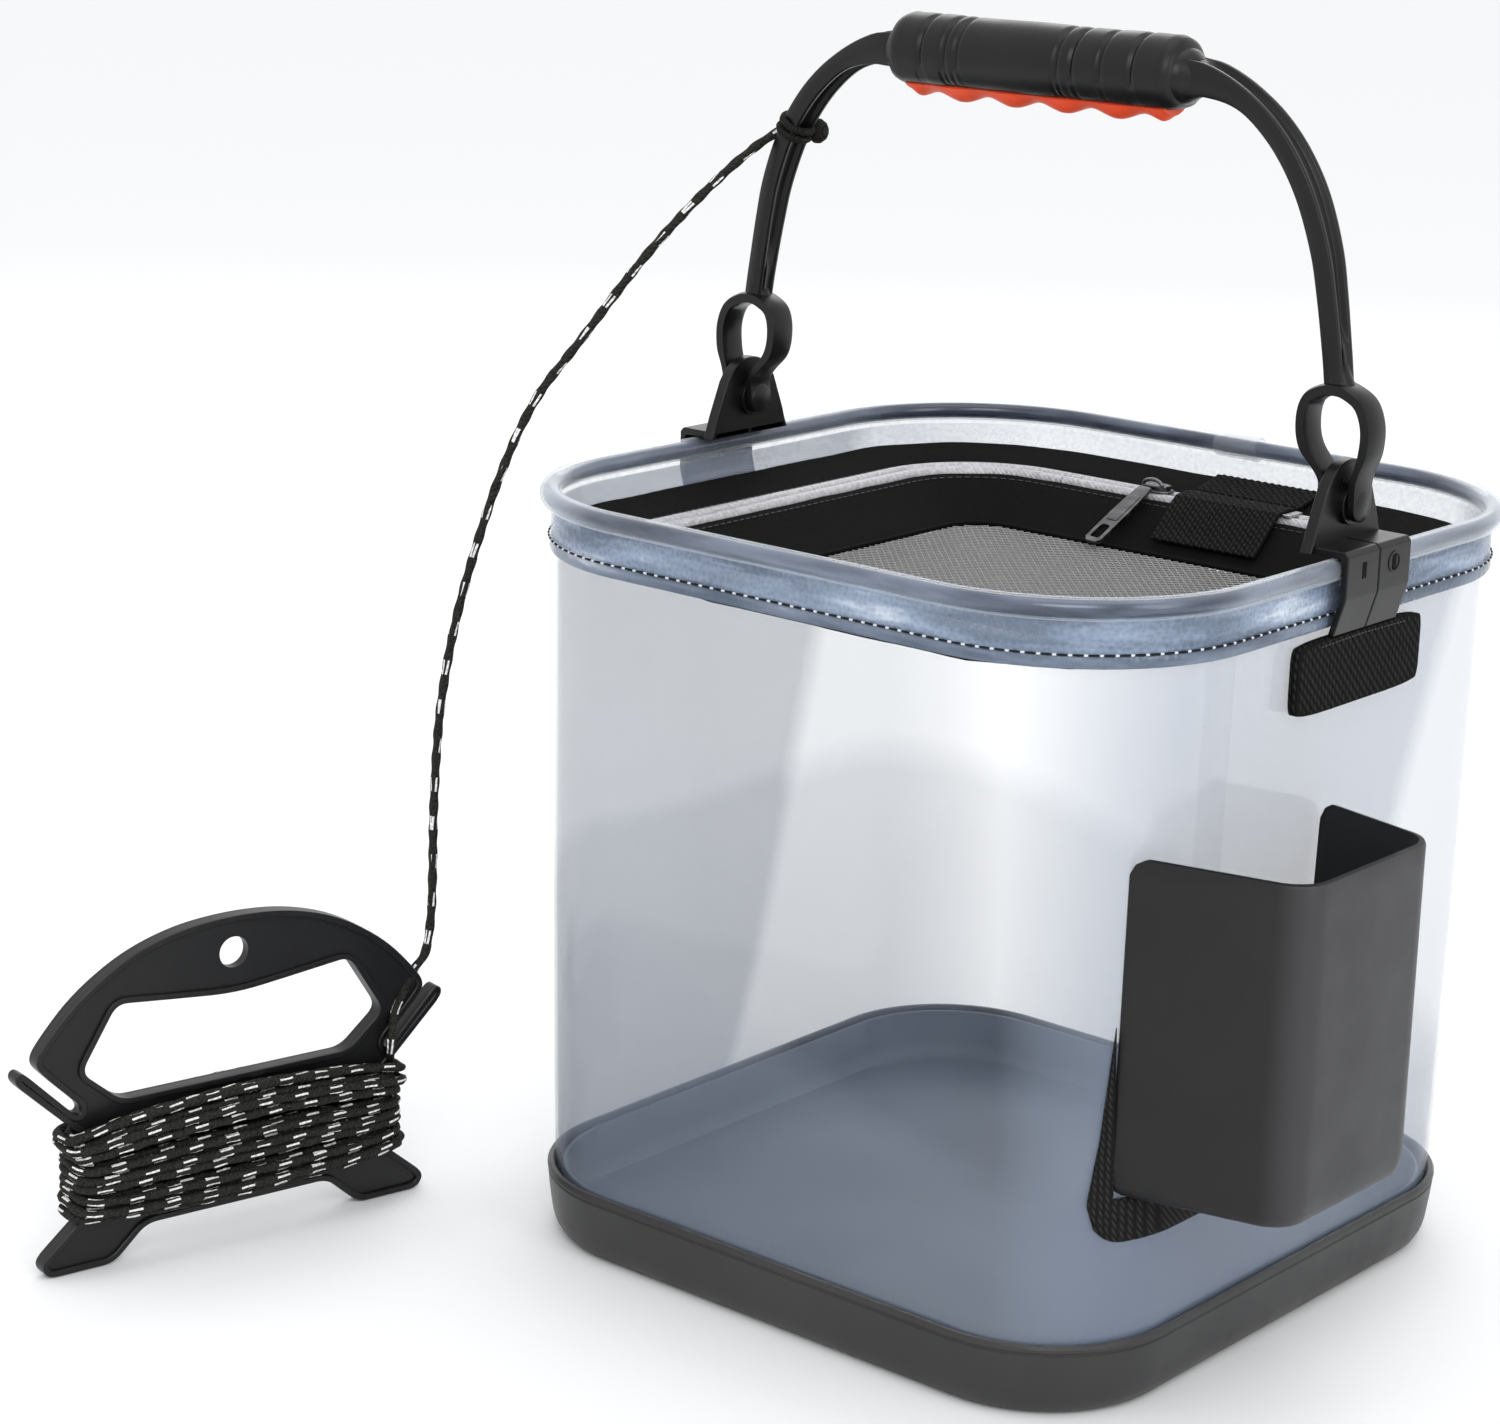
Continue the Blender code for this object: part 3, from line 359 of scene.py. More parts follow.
def rope_cover(name):
    """A black braid with white tracer ticks, laid out by distance along the rope and angle round it."""
    finish = Finish(name, 0.75, specular=0.15)
    along, around = (finish.node("Attribute", attribute_name=n)["Fac"] for n in ("along", "around"))
    tick = finish.math("LESS_THAN", finish.math("FRACT", finish.times(along, 1.0 / 0.0135)), 0.36)
    lean = finish.math("FRACT", finish.plus(around, finish.times(along, 11.0)))
    line = finish.math("LESS_THAN", finish.math("FRACT", finish.times(lean, 2.0)), 0.3)
    fibre = finish.noise(1500.0, 2.0)
    black = finish.ramp(fibre, (0.3, (0.006, 0.006, 0.005)), (0.7, (0.032, 0.031, 0.027)))
    white = finish.ramp(fibre, (0.3, (0.55, 0.56, 0.56)), (0.6, (0.93, 0.93, 0.92)))
    inputs = {"Factor": finish.times(tick, line), "A": black, "B": white}
    finish.drive("Base Color", finish.node("Mix", inputs, data_type="RGBA")["Result"])
    lay = finish.plus(around, finish.times(along, 240.0))
    twist = finish.math("SINE", finish.times(lay, 2.0 * math.tau))
    finish.bump(twist, 0.0004, 0.5, finish.bump(fibre, 0.0002, 0.5))
    return finish.made


def metal(name, dark, light, rough):
    finish = Finish(name, rough, metallic=1.0)
    scratches = finish.noise(70.0, 3.0, (1.0, 5.0, 1.0))
    finish.colour(scratches, (0.3, dark), (0.7, light))
    finish.rough(scratches, rough, rough + 0.16)
    finish.bump(scratches, 0.00001, 0.3)
    return finish.made


def zip_tape(name):
    """Silvery tape drawn over a round cord: fine ribs across the run and a slight yarn noise."""
    finish = Finish(name, 0.34, metallic=0.25)
    yarn = finish.noise(700.0, 3.0)
    finish.colour(yarn, (0.3, (0.34, 0.34, 0.36)), (0.65, (0.56, 0.56, 0.59)))
    finish.bump(finish.waves(0.314 / 0.0011, "DIAGONAL"), 0.00016, 0.5)
    finish.rough(yarn, 0.34, 0.5)
    return finish.made


def piping_core(name):
    finish = Finish(name, 0.22, specular=0.7)
    # The light and dark streaks are partly the core's own mottling and partly painted highlight and painted
    # shade along the piping.
    streaks = finish.noise(34.0, 3.0, (0.5, 0.5, 3.0))
    finish.colour(streaks, (0.4, (0.012, 0.022, 0.05)), (0.62, (0.12, 0.15, 0.215)))
    finish.bump(finish.noise(160.0, 3.0), 0.0003, 0.4)
    return finish.made


def grey(shade, blue=None):
    return (shade, shade, shade if blue is None else blue)


def build_finishes():
    blue_grey = (0.105, 0.13, 0.175), (0.15, 0.18, 0.235)
    black = grey(0.003)
    return {
        "tray": plastic("tray_charcoal", grey(0.024, 0.025), grey(0.034, 0.035), 0.34, 0.48, specular=0.35),
        "pouch": pouch_plastic("pouch_charcoal"),
        "liner": plastic("liner_blue_grey", *blue_grey, 0.4, 0.5, 400.0, 0.000002, 0.12),
        "clear": wall_vinyl("wall_clear_vinyl"),
        "seam": clear_sheet("seam_clear_vinyl", (0.8, 0.86, 0.95), 0.02, 0.18, 0.05),
        "sleeve": clear_sheet("sleeve_clear_vinyl", (0.9, 0.94, 1.0), 0.04, 0.85, 0.04, 0.5, 2.6),
        "band": band_vinyl("rim_band_vinyl", (0.15, 0.2, 0.285), 0.42),
        "hem": band_vinyl("rim_hem_vinyl", (0.075, 0.105, 0.155), 0.86),
        "core": piping_core("piping_core_blue"),
        "piping": clear_sheet("piping_clear_vinyl", (0.8, 0.86, 0.93), 0.02, 0.97, 0.05, 0.5, 2.6),
        "fabric": woven("lid_fabric_black", black, grey(0.011, 0.0105), 0.0007, 0.00012),
        "scrim": woven("lid_scrim_black", black, grey(0.01), 0.0009, 0.0002),
        "net": woven("lid_net_grey", grey(0.26), grey(0.6), 0.0004, 0.00005, 0.8),
        "webbing": woven("webbing_black", black, grey(0.024, 0.023), 0.0016, 0.0003, 0.85),
        "zip": zip_tape("zip_silver"),
        "gunmetal": metal("slider_gunmetal", grey(0.085, 0.09), grey(0.2, 0.205), 0.2),
        "steel": metal("pin_steel", grey(0.45, 0.46), grey(0.62, 0.63), 0.28),
        "flange": woven("pouch_flange_black", grey(0.006), grey(0.03, 0.028), 0.0012, 0.0003, 0.8),
        "moulded": plastic("moulded_black", grey(0.003, 0.0033), grey(0.006, 0.0065), 0.26, 0.38, 1100.0,
                           specular=0.3),
        "grip": plastic("grip_black", black, grey(0.007), 0.28, 0.42, 900.0, 0.00005, 0.3),
        "orange": plastic("grip_insert_orange", (0.78, 0.06, 0.014), (0.88, 0.095, 0.03), 0.45, 0.58,
                          900.0),
        "winder": plastic("winder_black", grey(0.004, 0.0045), grey(0.009, 0.0095), 0.3, 0.44, 1000.0,
                          specular=0.32),
        "thread": woven("thread_dark", (0.006, 0.008, 0.012), (0.03, 0.034, 0.042), 0.0003, 0.0001, 0.7),
        "pale_thread": woven("thread_grey", grey(0.06), grey(0.15), 0.0003, 0.0001, 0.7),
        "white_thread": woven("thread_white", (0.62, 0.64, 0.67), (0.85, 0.86, 0.88), 0.0003, 0.0001, 0.6),
        "rope": rope_cover("rope_black_white"),
        "tie": woven("rope_black", (0.006, 0.006, 0.005), (0.034, 0.033, 0.029), 0.0007, 0.0002, 0.8),
    }


# ---------------------------------------------------------------- mesh tools


def turn(steps):
    """Angles evenly round a full circle."""
    return np.linspace(0.0, math.tau, steps, endpoint=False)


def smooth_step(value):
    value = min(1.0, max(0.0, value))
    return value * value * (3.0 - 2.0 * value)


def heading(line, index):
    """Direction of a line of points at one of them."""
    return (line[min(index + 1, len(line) - 1)] - line[max(index - 1, 0)]).normalized()


def out_of_centre(point):
    return Vector((point.x, point.y, 0.0)).normalized()


def both_sides(right):
    """A closed outline from its right half, starting at the mirror of the half's first point."""
    left = [(-a, b) for a, b in reversed(right)]
    return left[-1:] + right + left[:-1]


def piece_from(bm, name, finish, body="bucket", slot=None, stands_for=None, sharp=35.0):
    """A smooth-shaded mesh that rides on a body, with its normals turned outward."""
    bmesh.ops.recalc_face_normals(bm, faces=bm.faces)
    mesh = bpy.data.meshes.new(name)
    bm.to_mesh(mesh)
    bm.free()
    mesh.materials.append(finishes[finish])
    obj = put_in_scene(name, mesh)
    mesh.shade_smooth()
    if sharp:
        mesh.set_sharp_from_angle(angle=math.radians(sharp))
    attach(obj, body)
    if stands_for:
        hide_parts(stands_for)
    return obj


def bevel(obj, width, segments=3):
    modifier = obj.modifiers.new("soft_edges", "BEVEL")
    modifier.width = width
    modifier.segments = segments
    modifier.limit_method = "ANGLE"
    modifier.angle_limit = math.radians(30.0)
    modifier.harden_normals = True


def add_loft(bm, rings, ring_closed=True, wrap=False, caps=False):
    """Faces between rings of points; wrap joins the last ring to the first, caps close both ends."""
    made = [[bm.verts.new(point) for point in ring] for ring in rings]
    pairs = list(zip(made, made[1:]))
    if wrap:
        pairs.append((made[-1], made[0]))
    for low, high in pairs:
        count = len(low)
        for index in range(count if ring_closed else count - 1):
            after = (index + 1) % count
            bm.faces.new((low[index], low[after], high[after], high[index]))
    if caps:
        bm.faces.new(made[0])
        bm.faces.new(list(reversed(made[-1])))
    return made


def lofted(name, rings, finish, body="bucket", wrap=False, caps=False, **rest):
    bm = bmesh.new()
    add_loft(bm, rings, wrap=wrap, caps=caps)
    return piece_from(bm, name, finish, body, **rest)


def add_slab(bm, outline, low, high, normal="z", side=1.0):
    """A flat outline made solid between two levels along z, y (outline in x, z) or x (in y, z)."""
    place = {
        "z": lambda a, b, level: Vector((a, b, level)),
        "y": lambda a, b, level: Vector((side * a, level, b)),
        "x": lambda a, b, level: Vector((level, a, b)),
    }[normal]
    add_loft(bm, [[place(a, b, level) for a, b in outline] for level in (low, high)], caps=True)


def add_sheets(bm, top, bottom):
    """Faces of two grids of vertices and of the sides between them."""
    rows, columns = len(top) - 1, len(top[0]) - 1
    for grid in (top, bottom):
        for i in range(rows):
            for j in range(columns):
                bm.faces.new((grid[i][j], grid[i][j + 1], grid[i + 1][j + 1], grid[i + 1][j]))
    for i in range(rows):
        for j in (0, columns):
            bm.faces.new((top[i][j], top[i + 1][j], bottom[i + 1][j], bottom[i][j]))
    for j in range(columns):
        for i in (0, rows):
            bm.faces.new((top[i][j], top[i][j + 1], bottom[i][j + 1], bottom[i][j]))


def rounded_square(half, corner, z, steps=CORNER_STEPS, straight=6):
    """Points of a rounded square with its straight sides divided too, anticlockwise from its +X side."""
    points = []
    middle = half - corner
    arc = np.linspace(0, math.pi / 2, steps + 1)
    plan = [(middle + corner * math.cos(a), middle + corner * math.sin(a)) for a in arc]
    plan += [(middle - 2.0 * middle * i / straight, half) for i in range(1, straight)]
    for quarter in range(4):
        spin = Matrix.Rotation(math.radians(90.0 * quarter), 2)
        points += [Vector((*(spin @ Vector(place)), z)) for place in plan]
    return points


def lid_ring(half, z, steps=20, straight=6):
    return rounded_square(half, LID_CORNER - (LID_HALF - half), z, steps, straight)


def ribbon(points, radius, sides=8, closed=False):
    """Rings of a tube round a line of points, carried along without sudden turns."""
    points = [Vector(p) for p in points]
    count = len(points)
    rings = []
    normal = None
    for index, point in enumerate(points):
        if closed:
            along = (points[(index + 1) % count] - points[index - 1]).normalized()
        else:
            along = heading(points, index)
        if normal is None:
            normal = along.orthogonal().normalized()
        normal = (normal - along * normal.dot(along)).normalized()
        side = along.cross(normal)
        angles = [math.tau * step / sides for step in range(sides)]
        rings.append([point + radius * (math.cos(a) * normal + math.sin(a) * side) for a in angles])
    return rings


def stitches(name, track, pitch, length, radius, finish, body="bucket", slot=None):
    """Short rounded threads along a line, one object."""
    track = [Vector(p) for p in track]
    spans = [(b - a).length for a, b in zip(track, track[1:])]
    total = sum(spans)
    starts = np.concatenate([[0.0], np.cumsum(spans)])

    def at(distance):
        distance = min(max(distance, 0.0), total - 1e-9)
        index = int(np.searchsorted(starts, distance, side="right") - 1)
        return track[index].lerp(track[index + 1], (distance - starts[index]) / spans[index])

    bm = bmesh.new()
    number = max(1, int(total / pitch))
    for index in range(number):
        middle = (index + 0.5) * total / number
        ends = [at(middle - 0.5 * length), at(middle), at(middle + 0.5 * length)]
        along = (ends[2] - ends[0]).normalized()
        line = [ends[0] - along * 0.2 * radius, *ends, ends[2] + along * 0.2 * radius]
        rings = ribbon(line, radius, 6)
        for end, shrink in ((0, 0.35), (1, 0.8), (3, 0.8), (4, 0.35)):
            rings[end] = [line[end] + (p - line[end]) * shrink for p in rings[end]]
        add_loft(bm, rings, caps=True)
    piece_from(bm, name, finish, body, slot=slot, sharp=0.0)


def catmull(route, spacing):
    """Evenly spaced points on a smooth curve through the route."""
    places = [Vector(point) for point in route]
    places = [2.0 * places[0] - places[1]] + places + [2.0 * places[-1] - places[-2]]
    dense = []
    for index in range(1, len(places) - 2):
        before, first, second, after = places[index - 1 : index + 3]
        for step in range(24):
            t = step / 24.0
            value = 2.0 * first + (second - before) * t
            value += (2.0 * before - 5.0 * first + 4.0 * second - after) * t * t
            value += (3.0 * first - before - 3.0 * second + after) * t * t * t
            dense.append(0.5 * value)
    return evenly(dense + [places[-2]], spacing)


def evenly(line, spacing):
    line = np.array([tuple(p) for p in line])
    spans = np.linalg.norm(np.diff(line, axis=0), axis=1)
    at = np.concatenate([[0.0], np.cumsum(spans)])
    wanted = np.linspace(0.0, at[-1], max(2, int(round(at[-1] / spacing))) + 1)
    return [Vector(p) for p in np.stack([np.interp(wanted, at, line[:, k]) for k in range(3)], axis=1)]


# ---------------------------------------------------------------- bucket


def build_base():
    edge = (  # inset, z
        (0.01, 0.0), (0.0078, 0.00015), (0.0055, 0.001), (0.0038, 0.0026), (0.0024, 0.0052),
        (0.0016, 0.0085), (0.0008, 0.015), (0.0002, 0.0212), (0.0006, 0.0216), (0.0006, 0.0221),
        (0.0, 0.0226), (0.0, 0.0236), (0.0006, TRAY_TOP), (0.0018, TRAY_TOP), (0.0024, 0.0238),
        (0.0027, 0.01),
    )
    rings = [rounded_square(TRAY_HALF - inset, TRAY_CORNER - 0.85 * inset, z) for inset, z in edge]
    rings.append(rounded_square(TRAY_HALF - 0.004, TRAY_CORNER - 0.0035, 0.0035))
    lofted("tray_shell", rings, "tray", caps=True, stands_for="base_tray")
    profile = (
        (0.0078, 0.004), (0.0023, 0.0055), (0.0006, 0.01), (0.0, 0.02), (0.0, 0.0234),
        (0.0003, 0.0238), (0.0009, 0.0238), (0.0012, 0.0234), (0.0016, 0.012), (0.0024, 0.0086),
        (0.0042, 0.0066), (0.007, 0.006), (0.0094, 0.0063), (0.0112, 0.0058),
    )
    rings = [rounded_square(FLOOR_HALF - inset, 0.044 - 0.7 * inset, z) for inset, z in profile]
    last = rings[-1]
    for shrink, z in ((0.9, 0.0056), (0.6, 0.0059), (0.3, 0.0061), (0.02, 0.0062)):
        rings.append([Vector((p.x * shrink, p.y * shrink, z)) for p in last])
    lofted("floor_liner", rings, "liner", caps=True, stands_for="floor_pan")


def wall_at(z):
    """(half width, corner radius) of the wall's outside at a height."""
    heights, halves, corners = zip(*WALL_STATIONS)
    return float(np.interp(z, heights, halves)), float(np.interp(z, heights, corners))


def soft_square(half, corner, z, depth, seed):
    """A rounded square moved in and out a little, as soft vinyl sheet is between its hems."""
    moved = []
    for point in rounded_square(half, corner, z, CORNER_STEPS, 14):
        amount = noise.noise(Vector((point.x * 14.0 + seed, point.y * 14.0, point.z * 9.0)))
        moved.append(point + out_of_centre(point) * depth * amount)
    return moved


def build_wall():
    heights = list(np.linspace(0.007, BAND_LOW, 30)) + [0.2375, 0.244, WALL_TOP]
    outside, inside = [], []
    for z in heights:
        half, corner = wall_at(z)
        depth = 0.0007 * min(1.0, max(0.0, (z - 0.026) / 0.03), max(0.0, (BAND_LOW - z) / 0.03))
        outside.append(soft_square(half, corner, z, depth, 1.0))
        inside.append(soft_square(half - WALL_THICK, corner - WALL_THICK, z, depth, 1.0))
    lofted("clear_wall", outside + inside[::-1], "clear", wrap=True, stands_for="wall_clear")
    section = ((-0.006, 0.0004), (-0.0055, 0.0009), (0.0055, 0.0009), (0.006, 0.0004))
    rings = []
    for z in np.linspace(0.026, 0.2335, 24):
        half = wall_at(z)[0]
        rings.append([Vector((x, half + 0.0002 + out, z)) for x, out in section])
    lofted("wall_seam", rings, "seam", caps=True, stands_for="wall_seam_strip")


def build_band():
    """The rim's folded band: a pale embossed sheet over a darker doubled hem, with its stitching."""
    hem_top = BAND_LOW + 0.0042

    def band_rings(profile):
        return [soft_square(BAND_HALF + out, BAND_CORNER + out, z, 0.0002, 5.0) for z, out in profile]

    sheet = band_rings(
        ((hem_top - 0.0006, -0.0002), (0.2425, 0.0), (0.2465, 0.0), (0.2486, 0.0001), (0.25, 0.0006))
    )
    inner = [[p - out_of_centre(p) * 0.0008 for p in ring] for ring in sheet[::-1]]
    lofted("band_sheet", sheet + inner, "band", wrap=True, stands_for="rim_band")
    hem = (
        (BAND_LOW, -0.0006), (BAND_LOW + 0.0001, 0.0001), (BAND_LOW + 0.0008, 0.0004),
        (hem_top - 0.0008, 0.0003), (hem_top, -0.0002), (hem_top - 0.0002, -0.0008),
    )
    lofted("band_hem", band_rings(hem), "hem", wrap=True)
    track = evenly(rounded_square(BAND_HALF + 0.0005, BAND_CORNER, hem_top + 0.0001, 24, 30), 0.0021)
    shifted = track[1:] + track[:1]
    stitches("band_stitching", track + track[:1], 0.0045, 0.0031, 0.0004, "thread")
    stitches("band_stitching_pale", shifted + shifted[:1], 0.0045, 0.0011, 0.00042, "white_thread")


def build_piping():
    path = rounded_square(PIPING_HALF, PIPING_CORNER, PIPING_Z, 24, 10)
    core = [point - out_of_centre(point) * 0.0004 for point in path]
    lofted("piping_core", ribbon(core, 0.0028, 16, closed=True), "core", wrap=True)
    cover = ribbon(path, PIPING_RADIUS, 20, closed=True)
    lofted("piping_cover", cover, "piping", wrap=True, stands_for="rim_piping", sharp=0.0)
    half_sleeve = ((0.008, 0.0044), (0.0085, 0.0042), (0.0085, 0.0038))
    stations = [(-x, radius) for x, radius in reversed(half_sleeve)] + list(half_sleeve)
    rings = []
    for x, radius in stations:
        circle = [(radius * math.cos(a), radius * math.sin(a)) for a in turn(28)]
        rings.append([Vector((x, PIPING_HALF + out, PIPING_Z + up)) for out, up in circle])
    lofted("joint_sleeve", rings, "sleeve", wrap=True, stands_for="rim_joint_sleeve")


# ---------------------------------------------------------------- lid


def corner_lift(x, y):
    """How far the cloth round the mesh is drawn up at the lid's near corner, which the rim hides."""
    return 0.0034 * smooth_step((min(x, -y) - 0.035) / 0.037)


def puckered(point, share, depth):
    """A point of the lid's cloth with its small puckers and a share of the near corner's lift."""
    amount = noise.noise(Vector((point.x * 60.0 + 3.0, point.y * 60.0, 0.0)))
    return point + Vector((0.0, 0.0, share * corner_lift(point.x, point.y) + depth * amount))


def fabric_band(name, profile, body, stands_for, depth=0.0003):
    rings = []
    for half, z in profile:
        share = min(1.0, max(0.0, (0.0954 - half) / 0.015))
        rings.append([puckered(point, share, depth) for point in lid_ring(half, z, 14, 16)])
    cloth = lofted(name, rings, "fabric", body, wrap=True, stands_for=stands_for, sharp=50.0)


def build_lid():
    flange = (
        (0.1229, 0.2405), (0.1224, 0.2409), (0.1214, 0.2406), (0.117, 0.239), (0.112, 0.2371),
        (0.1071, 0.2353), (0.1066, 0.2346), (0.1071, 0.2341), (0.115, 0.2359), (0.1229, 0.2377),
    )
    fabric_band("lid_flange_cloth", flange, "bucket", "lid_flange")
    panel = (
        (0.0962, 0.235), (0.0954, 0.2348), (0.092, 0.2318), (0.088, 0.2279), (0.084, 0.2243),
        (0.08, 0.2211), (0.079, 0.2202), (0.0788, 0.2194), (0.0796, 0.2194), (0.084, 0.2229),
        (0.09, 0.2285), (0.0962, 0.2337),
    )
    fabric_band("lid_panel_cloth", panel, "lid", "lid_panel", 0.0006)
    binding = [puckered(point, 1.0, 0.0) for point in lid_ring(0.0778, 0.2211, 12)]
    cord = ribbon(binding, 0.0008, 8, closed=True)
    lofted("lid_binding_cord", cord, "fabric", "lid", wrap=True, stands_for="lid_binding", sharp=0.0)
    for name, half, z, body in (
        ("flange_seam", 0.1086, 0.2362, "bucket"), ("panel_seam", 0.094, 0.234, "lid")
    ):
        track = lid_ring(half, z)
        stitches(name, track + track[:1], 0.0032, 0.0022, 0.0002, "pale_thread", body)


def run_ring(half, z, gap):
    """The lid ring from one side of its rear run round to the other."""
    ring = [p for p in lid_ring(half, z) if p.y < 0.0 or abs(p.x) > gap]
    start = next(i for i, p in enumerate(ring) if p.x < 0.0 and p.y > 0.0)
    ring = ring[start:] + ring[:start]
    return [Vector((-gap, half, z))] + ring + [Vector((gap, half, z))]


def zip_section(low, high, z):
    """One soft round cord under its tape, as (half, z) pairs round the strip."""
    middle, radius = 0.5 * (low + high), 0.5 * (high - low)
    pairs = [(high, z), (high, z + 0.0008)]
    for step in range(1, 12):
        angle = math.pi * step / 12.0
        pairs.append((middle + radius * math.cos(angle), z + 0.0008 + 0.0024 * math.sin(angle)))
    return pairs + [(low, z + 0.0008), (low, z)]


def build_zip():
    for side, body, low, high, z in (
        ("outer", "bucket", 0.1018, 0.1059, 0.2343), ("inner", "lid", 0.0965, 0.1008, 0.234)
    ):
        section = zip_section(low, high, z)
        rings = zip(*(run_ring(half, height, ZIP_RUN_HALF + 0.0003) for half, height in section))
        lofted("zip_run_" + side, rings, "zip", body, caps=True, stands_for="zip_strip_" + side)
        rings = []
        for x in np.linspace(-ZIP_RUN_HALF, ZIP_RUN_HALF, 40):
            rings.append([Vector((x, half, height)) for half, height in section])
        rear_node = "zip_strip_rear_" + side
        lofted("zip_rear_" + side, rings, "zip", "lid", caps=True, stands_for=rear_node)
    build_teeth()


def build_teeth():
    """The coil's small teeth in the gap between the two strips."""
    line = lid_ring(ZIP_LINE, 0.2352)
    track = evenly(line + line[:1], 0.0016)
    for body, keep in (("bucket", False), ("lid", True)):
        bm = bmesh.new()
        for first, second in zip(track, track[1:]):
            rear = first.y > 0.0 and abs(first.x) < ZIP_RUN_HALF
            if rear != keep:
                continue
            along = (second - first).normalized()
            out = Vector((along.y, -along.x, 0.0))
            middle = first.lerp(second, 0.5)
            corners = []
            for a, b in ((-0.5, -1.0), (0.5, -1.0), (0.5, 1.0), (-0.5, 1.0)):
                corners.append(middle + along * a * 0.0009 + out * b * 0.0007)
            add_loft(bm, [corners, [c + Vector((0.0, 0.0, 0.0008)) for c in corners]], caps=True)
        piece_from(bm, "zip_teeth_" + body, "gunmetal", body, slot="zip", sharp=30.0)


def dish(x, y):
    """Height of the mesh panel's top, which sags towards its middle."""
    reach = max(abs(x), abs(y)) / 0.0786
    return 0.2178 + 0.0022 * min(1.0, reach) ** 3 + corner_lift(x, y)


def build_net():
    """Open diagonal netting over a black scrim."""
    corner = LID_CORNER - (LID_HALF - MESH_HALF)
    base = rounded_square(MESH_HALF, corner, 0.0, 12, 10)
    rings = []
    for shrink in (1.0, 0.97, 0.93, 0.85, 0.7, 0.5, 0.25, 0.02):
        plan = [(p.x * shrink, p.y * shrink) for p in base]
        rings.append([Vector((x, y, dish(x, y) - 0.0003)) for x, y in plan])
    under = [[p - Vector((0.0, 0.0, 0.0006)) for p in ring] for ring in rings]
    rings = under[::-1] + rings
    scrim = lofted("lid_scrim", rings, "scrim", "lid", caps=True, stands_for="lid_mesh", sharp=0.0)
    count = int(2.0 * MESH_HALF / NET_PITCH) + 2
    middle = MESH_HALF - corner
    bm = bmesh.new()
    grid = {}
    for i in range(-count, count + 1):
        for j in range(-count, count + 1):
            x, y = (i + j) * NET_PITCH * 0.5, (i - j) * NET_PITCH * 0.5
            past = Vector((max(abs(x) - middle, 0.0), max(abs(y) - middle, 0.0))).length
            if past < corner:
                grid[i, j] = bm.verts.new((x, y, dish(x, y) + 0.0002))
    for i, j in grid:
        cell = [(i, j), (i + 1, j), (i + 1, j + 1), (i, j + 1)]
        if all(key in grid for key in cell):
            bm.faces.new([grid[key] for key in cell])
    net = piece_from(bm, "lid_net", "net", "lid", sharp=0.0)
    wire = net.modifiers.new("threads", "WIREFRAME")
    wire.thickness = 0.00056
    wire.use_even_offset = False
    wire.use_boundary = False


def webbing_piece(name, profile, body, stands_for):
    """Coarse woven tape along a profile of (y, z), with its rib relief in the mesh."""
    yarn_pitch = 0.00055
    line = evenly([Vector((0.0, y, z)) for y, z in profile], yarn_pitch)
    widths = np.linspace(PATCH_LOW_X, PATCH_HIGH_X, int((PATCH_HIGH_X - PATCH_LOW_X) / yarn_pitch))
    bm = bmesh.new()
    top, bottom = [], []
    for i, point in enumerate(line):
        along = heading(line, i)
        normal = Vector((0.0, -along.z, along.y))
        if normal.z < 0.0:
            normal = -normal
        rib = 0.5 + 0.5 * math.cos(math.tau * i / 4.0)
        row = []
        for j, x in enumerate(widths):
            yarn = 0.5 + 0.5 * math.cos(math.tau * (j / 5.0 + 0.5 * ((i // 4) % 2)))
            edge = min(1.0, 6.0 * min(j, len(widths) - 1 - j) / len(widths) * 4.0)
            height = (0.0001 + 0.00042 * rib * yarn) * (0.4 + 0.6 * edge)
            row.append(bm.verts.new(Vector((x, point.y, point.z)) + normal * height))
        top.append(row)
        bottom.append([bm.verts.new(Vector((x, point.y, point.z)) - normal * 0.0009) for x in widths])
    add_sheets(bm, top, bottom)
    tape = piece_from(bm, name, "webbing", body, stands_for=stands_for, sharp=0.0)


def build_patch():
    fixed = ((0.1213, 0.2421), (0.119, 0.2415), (0.113, 0.24), (0.1078, 0.2387))
    flap = (
        (0.1062, 0.2386), (0.101, 0.2392), (0.0955, 0.2385), (0.09, 0.2338), (0.085, 0.229), (0.081, 0.2258)
    )
    webbing_piece("patch_root", fixed, "bucket", "patch_fixed")
    webbing_piece("patch_flap", flap, "lid", "patch_lid")
    low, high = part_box("zip_end_stop")
    bm = bmesh.new()
    for y in np.linspace(low.y, high.y, 5)[:-1]:
        tooth = [(low.x, y), (high.x, y), (high.x, y + 0.0017), (low.x, y + 0.0017)]
        add_slab(bm, tooth, low.z, high.z)
    bevel(piece_from(bm, "end_stop", "steel", "lid", slot="zip", stands_for="zip_end_stop"), 0.0002, 2)


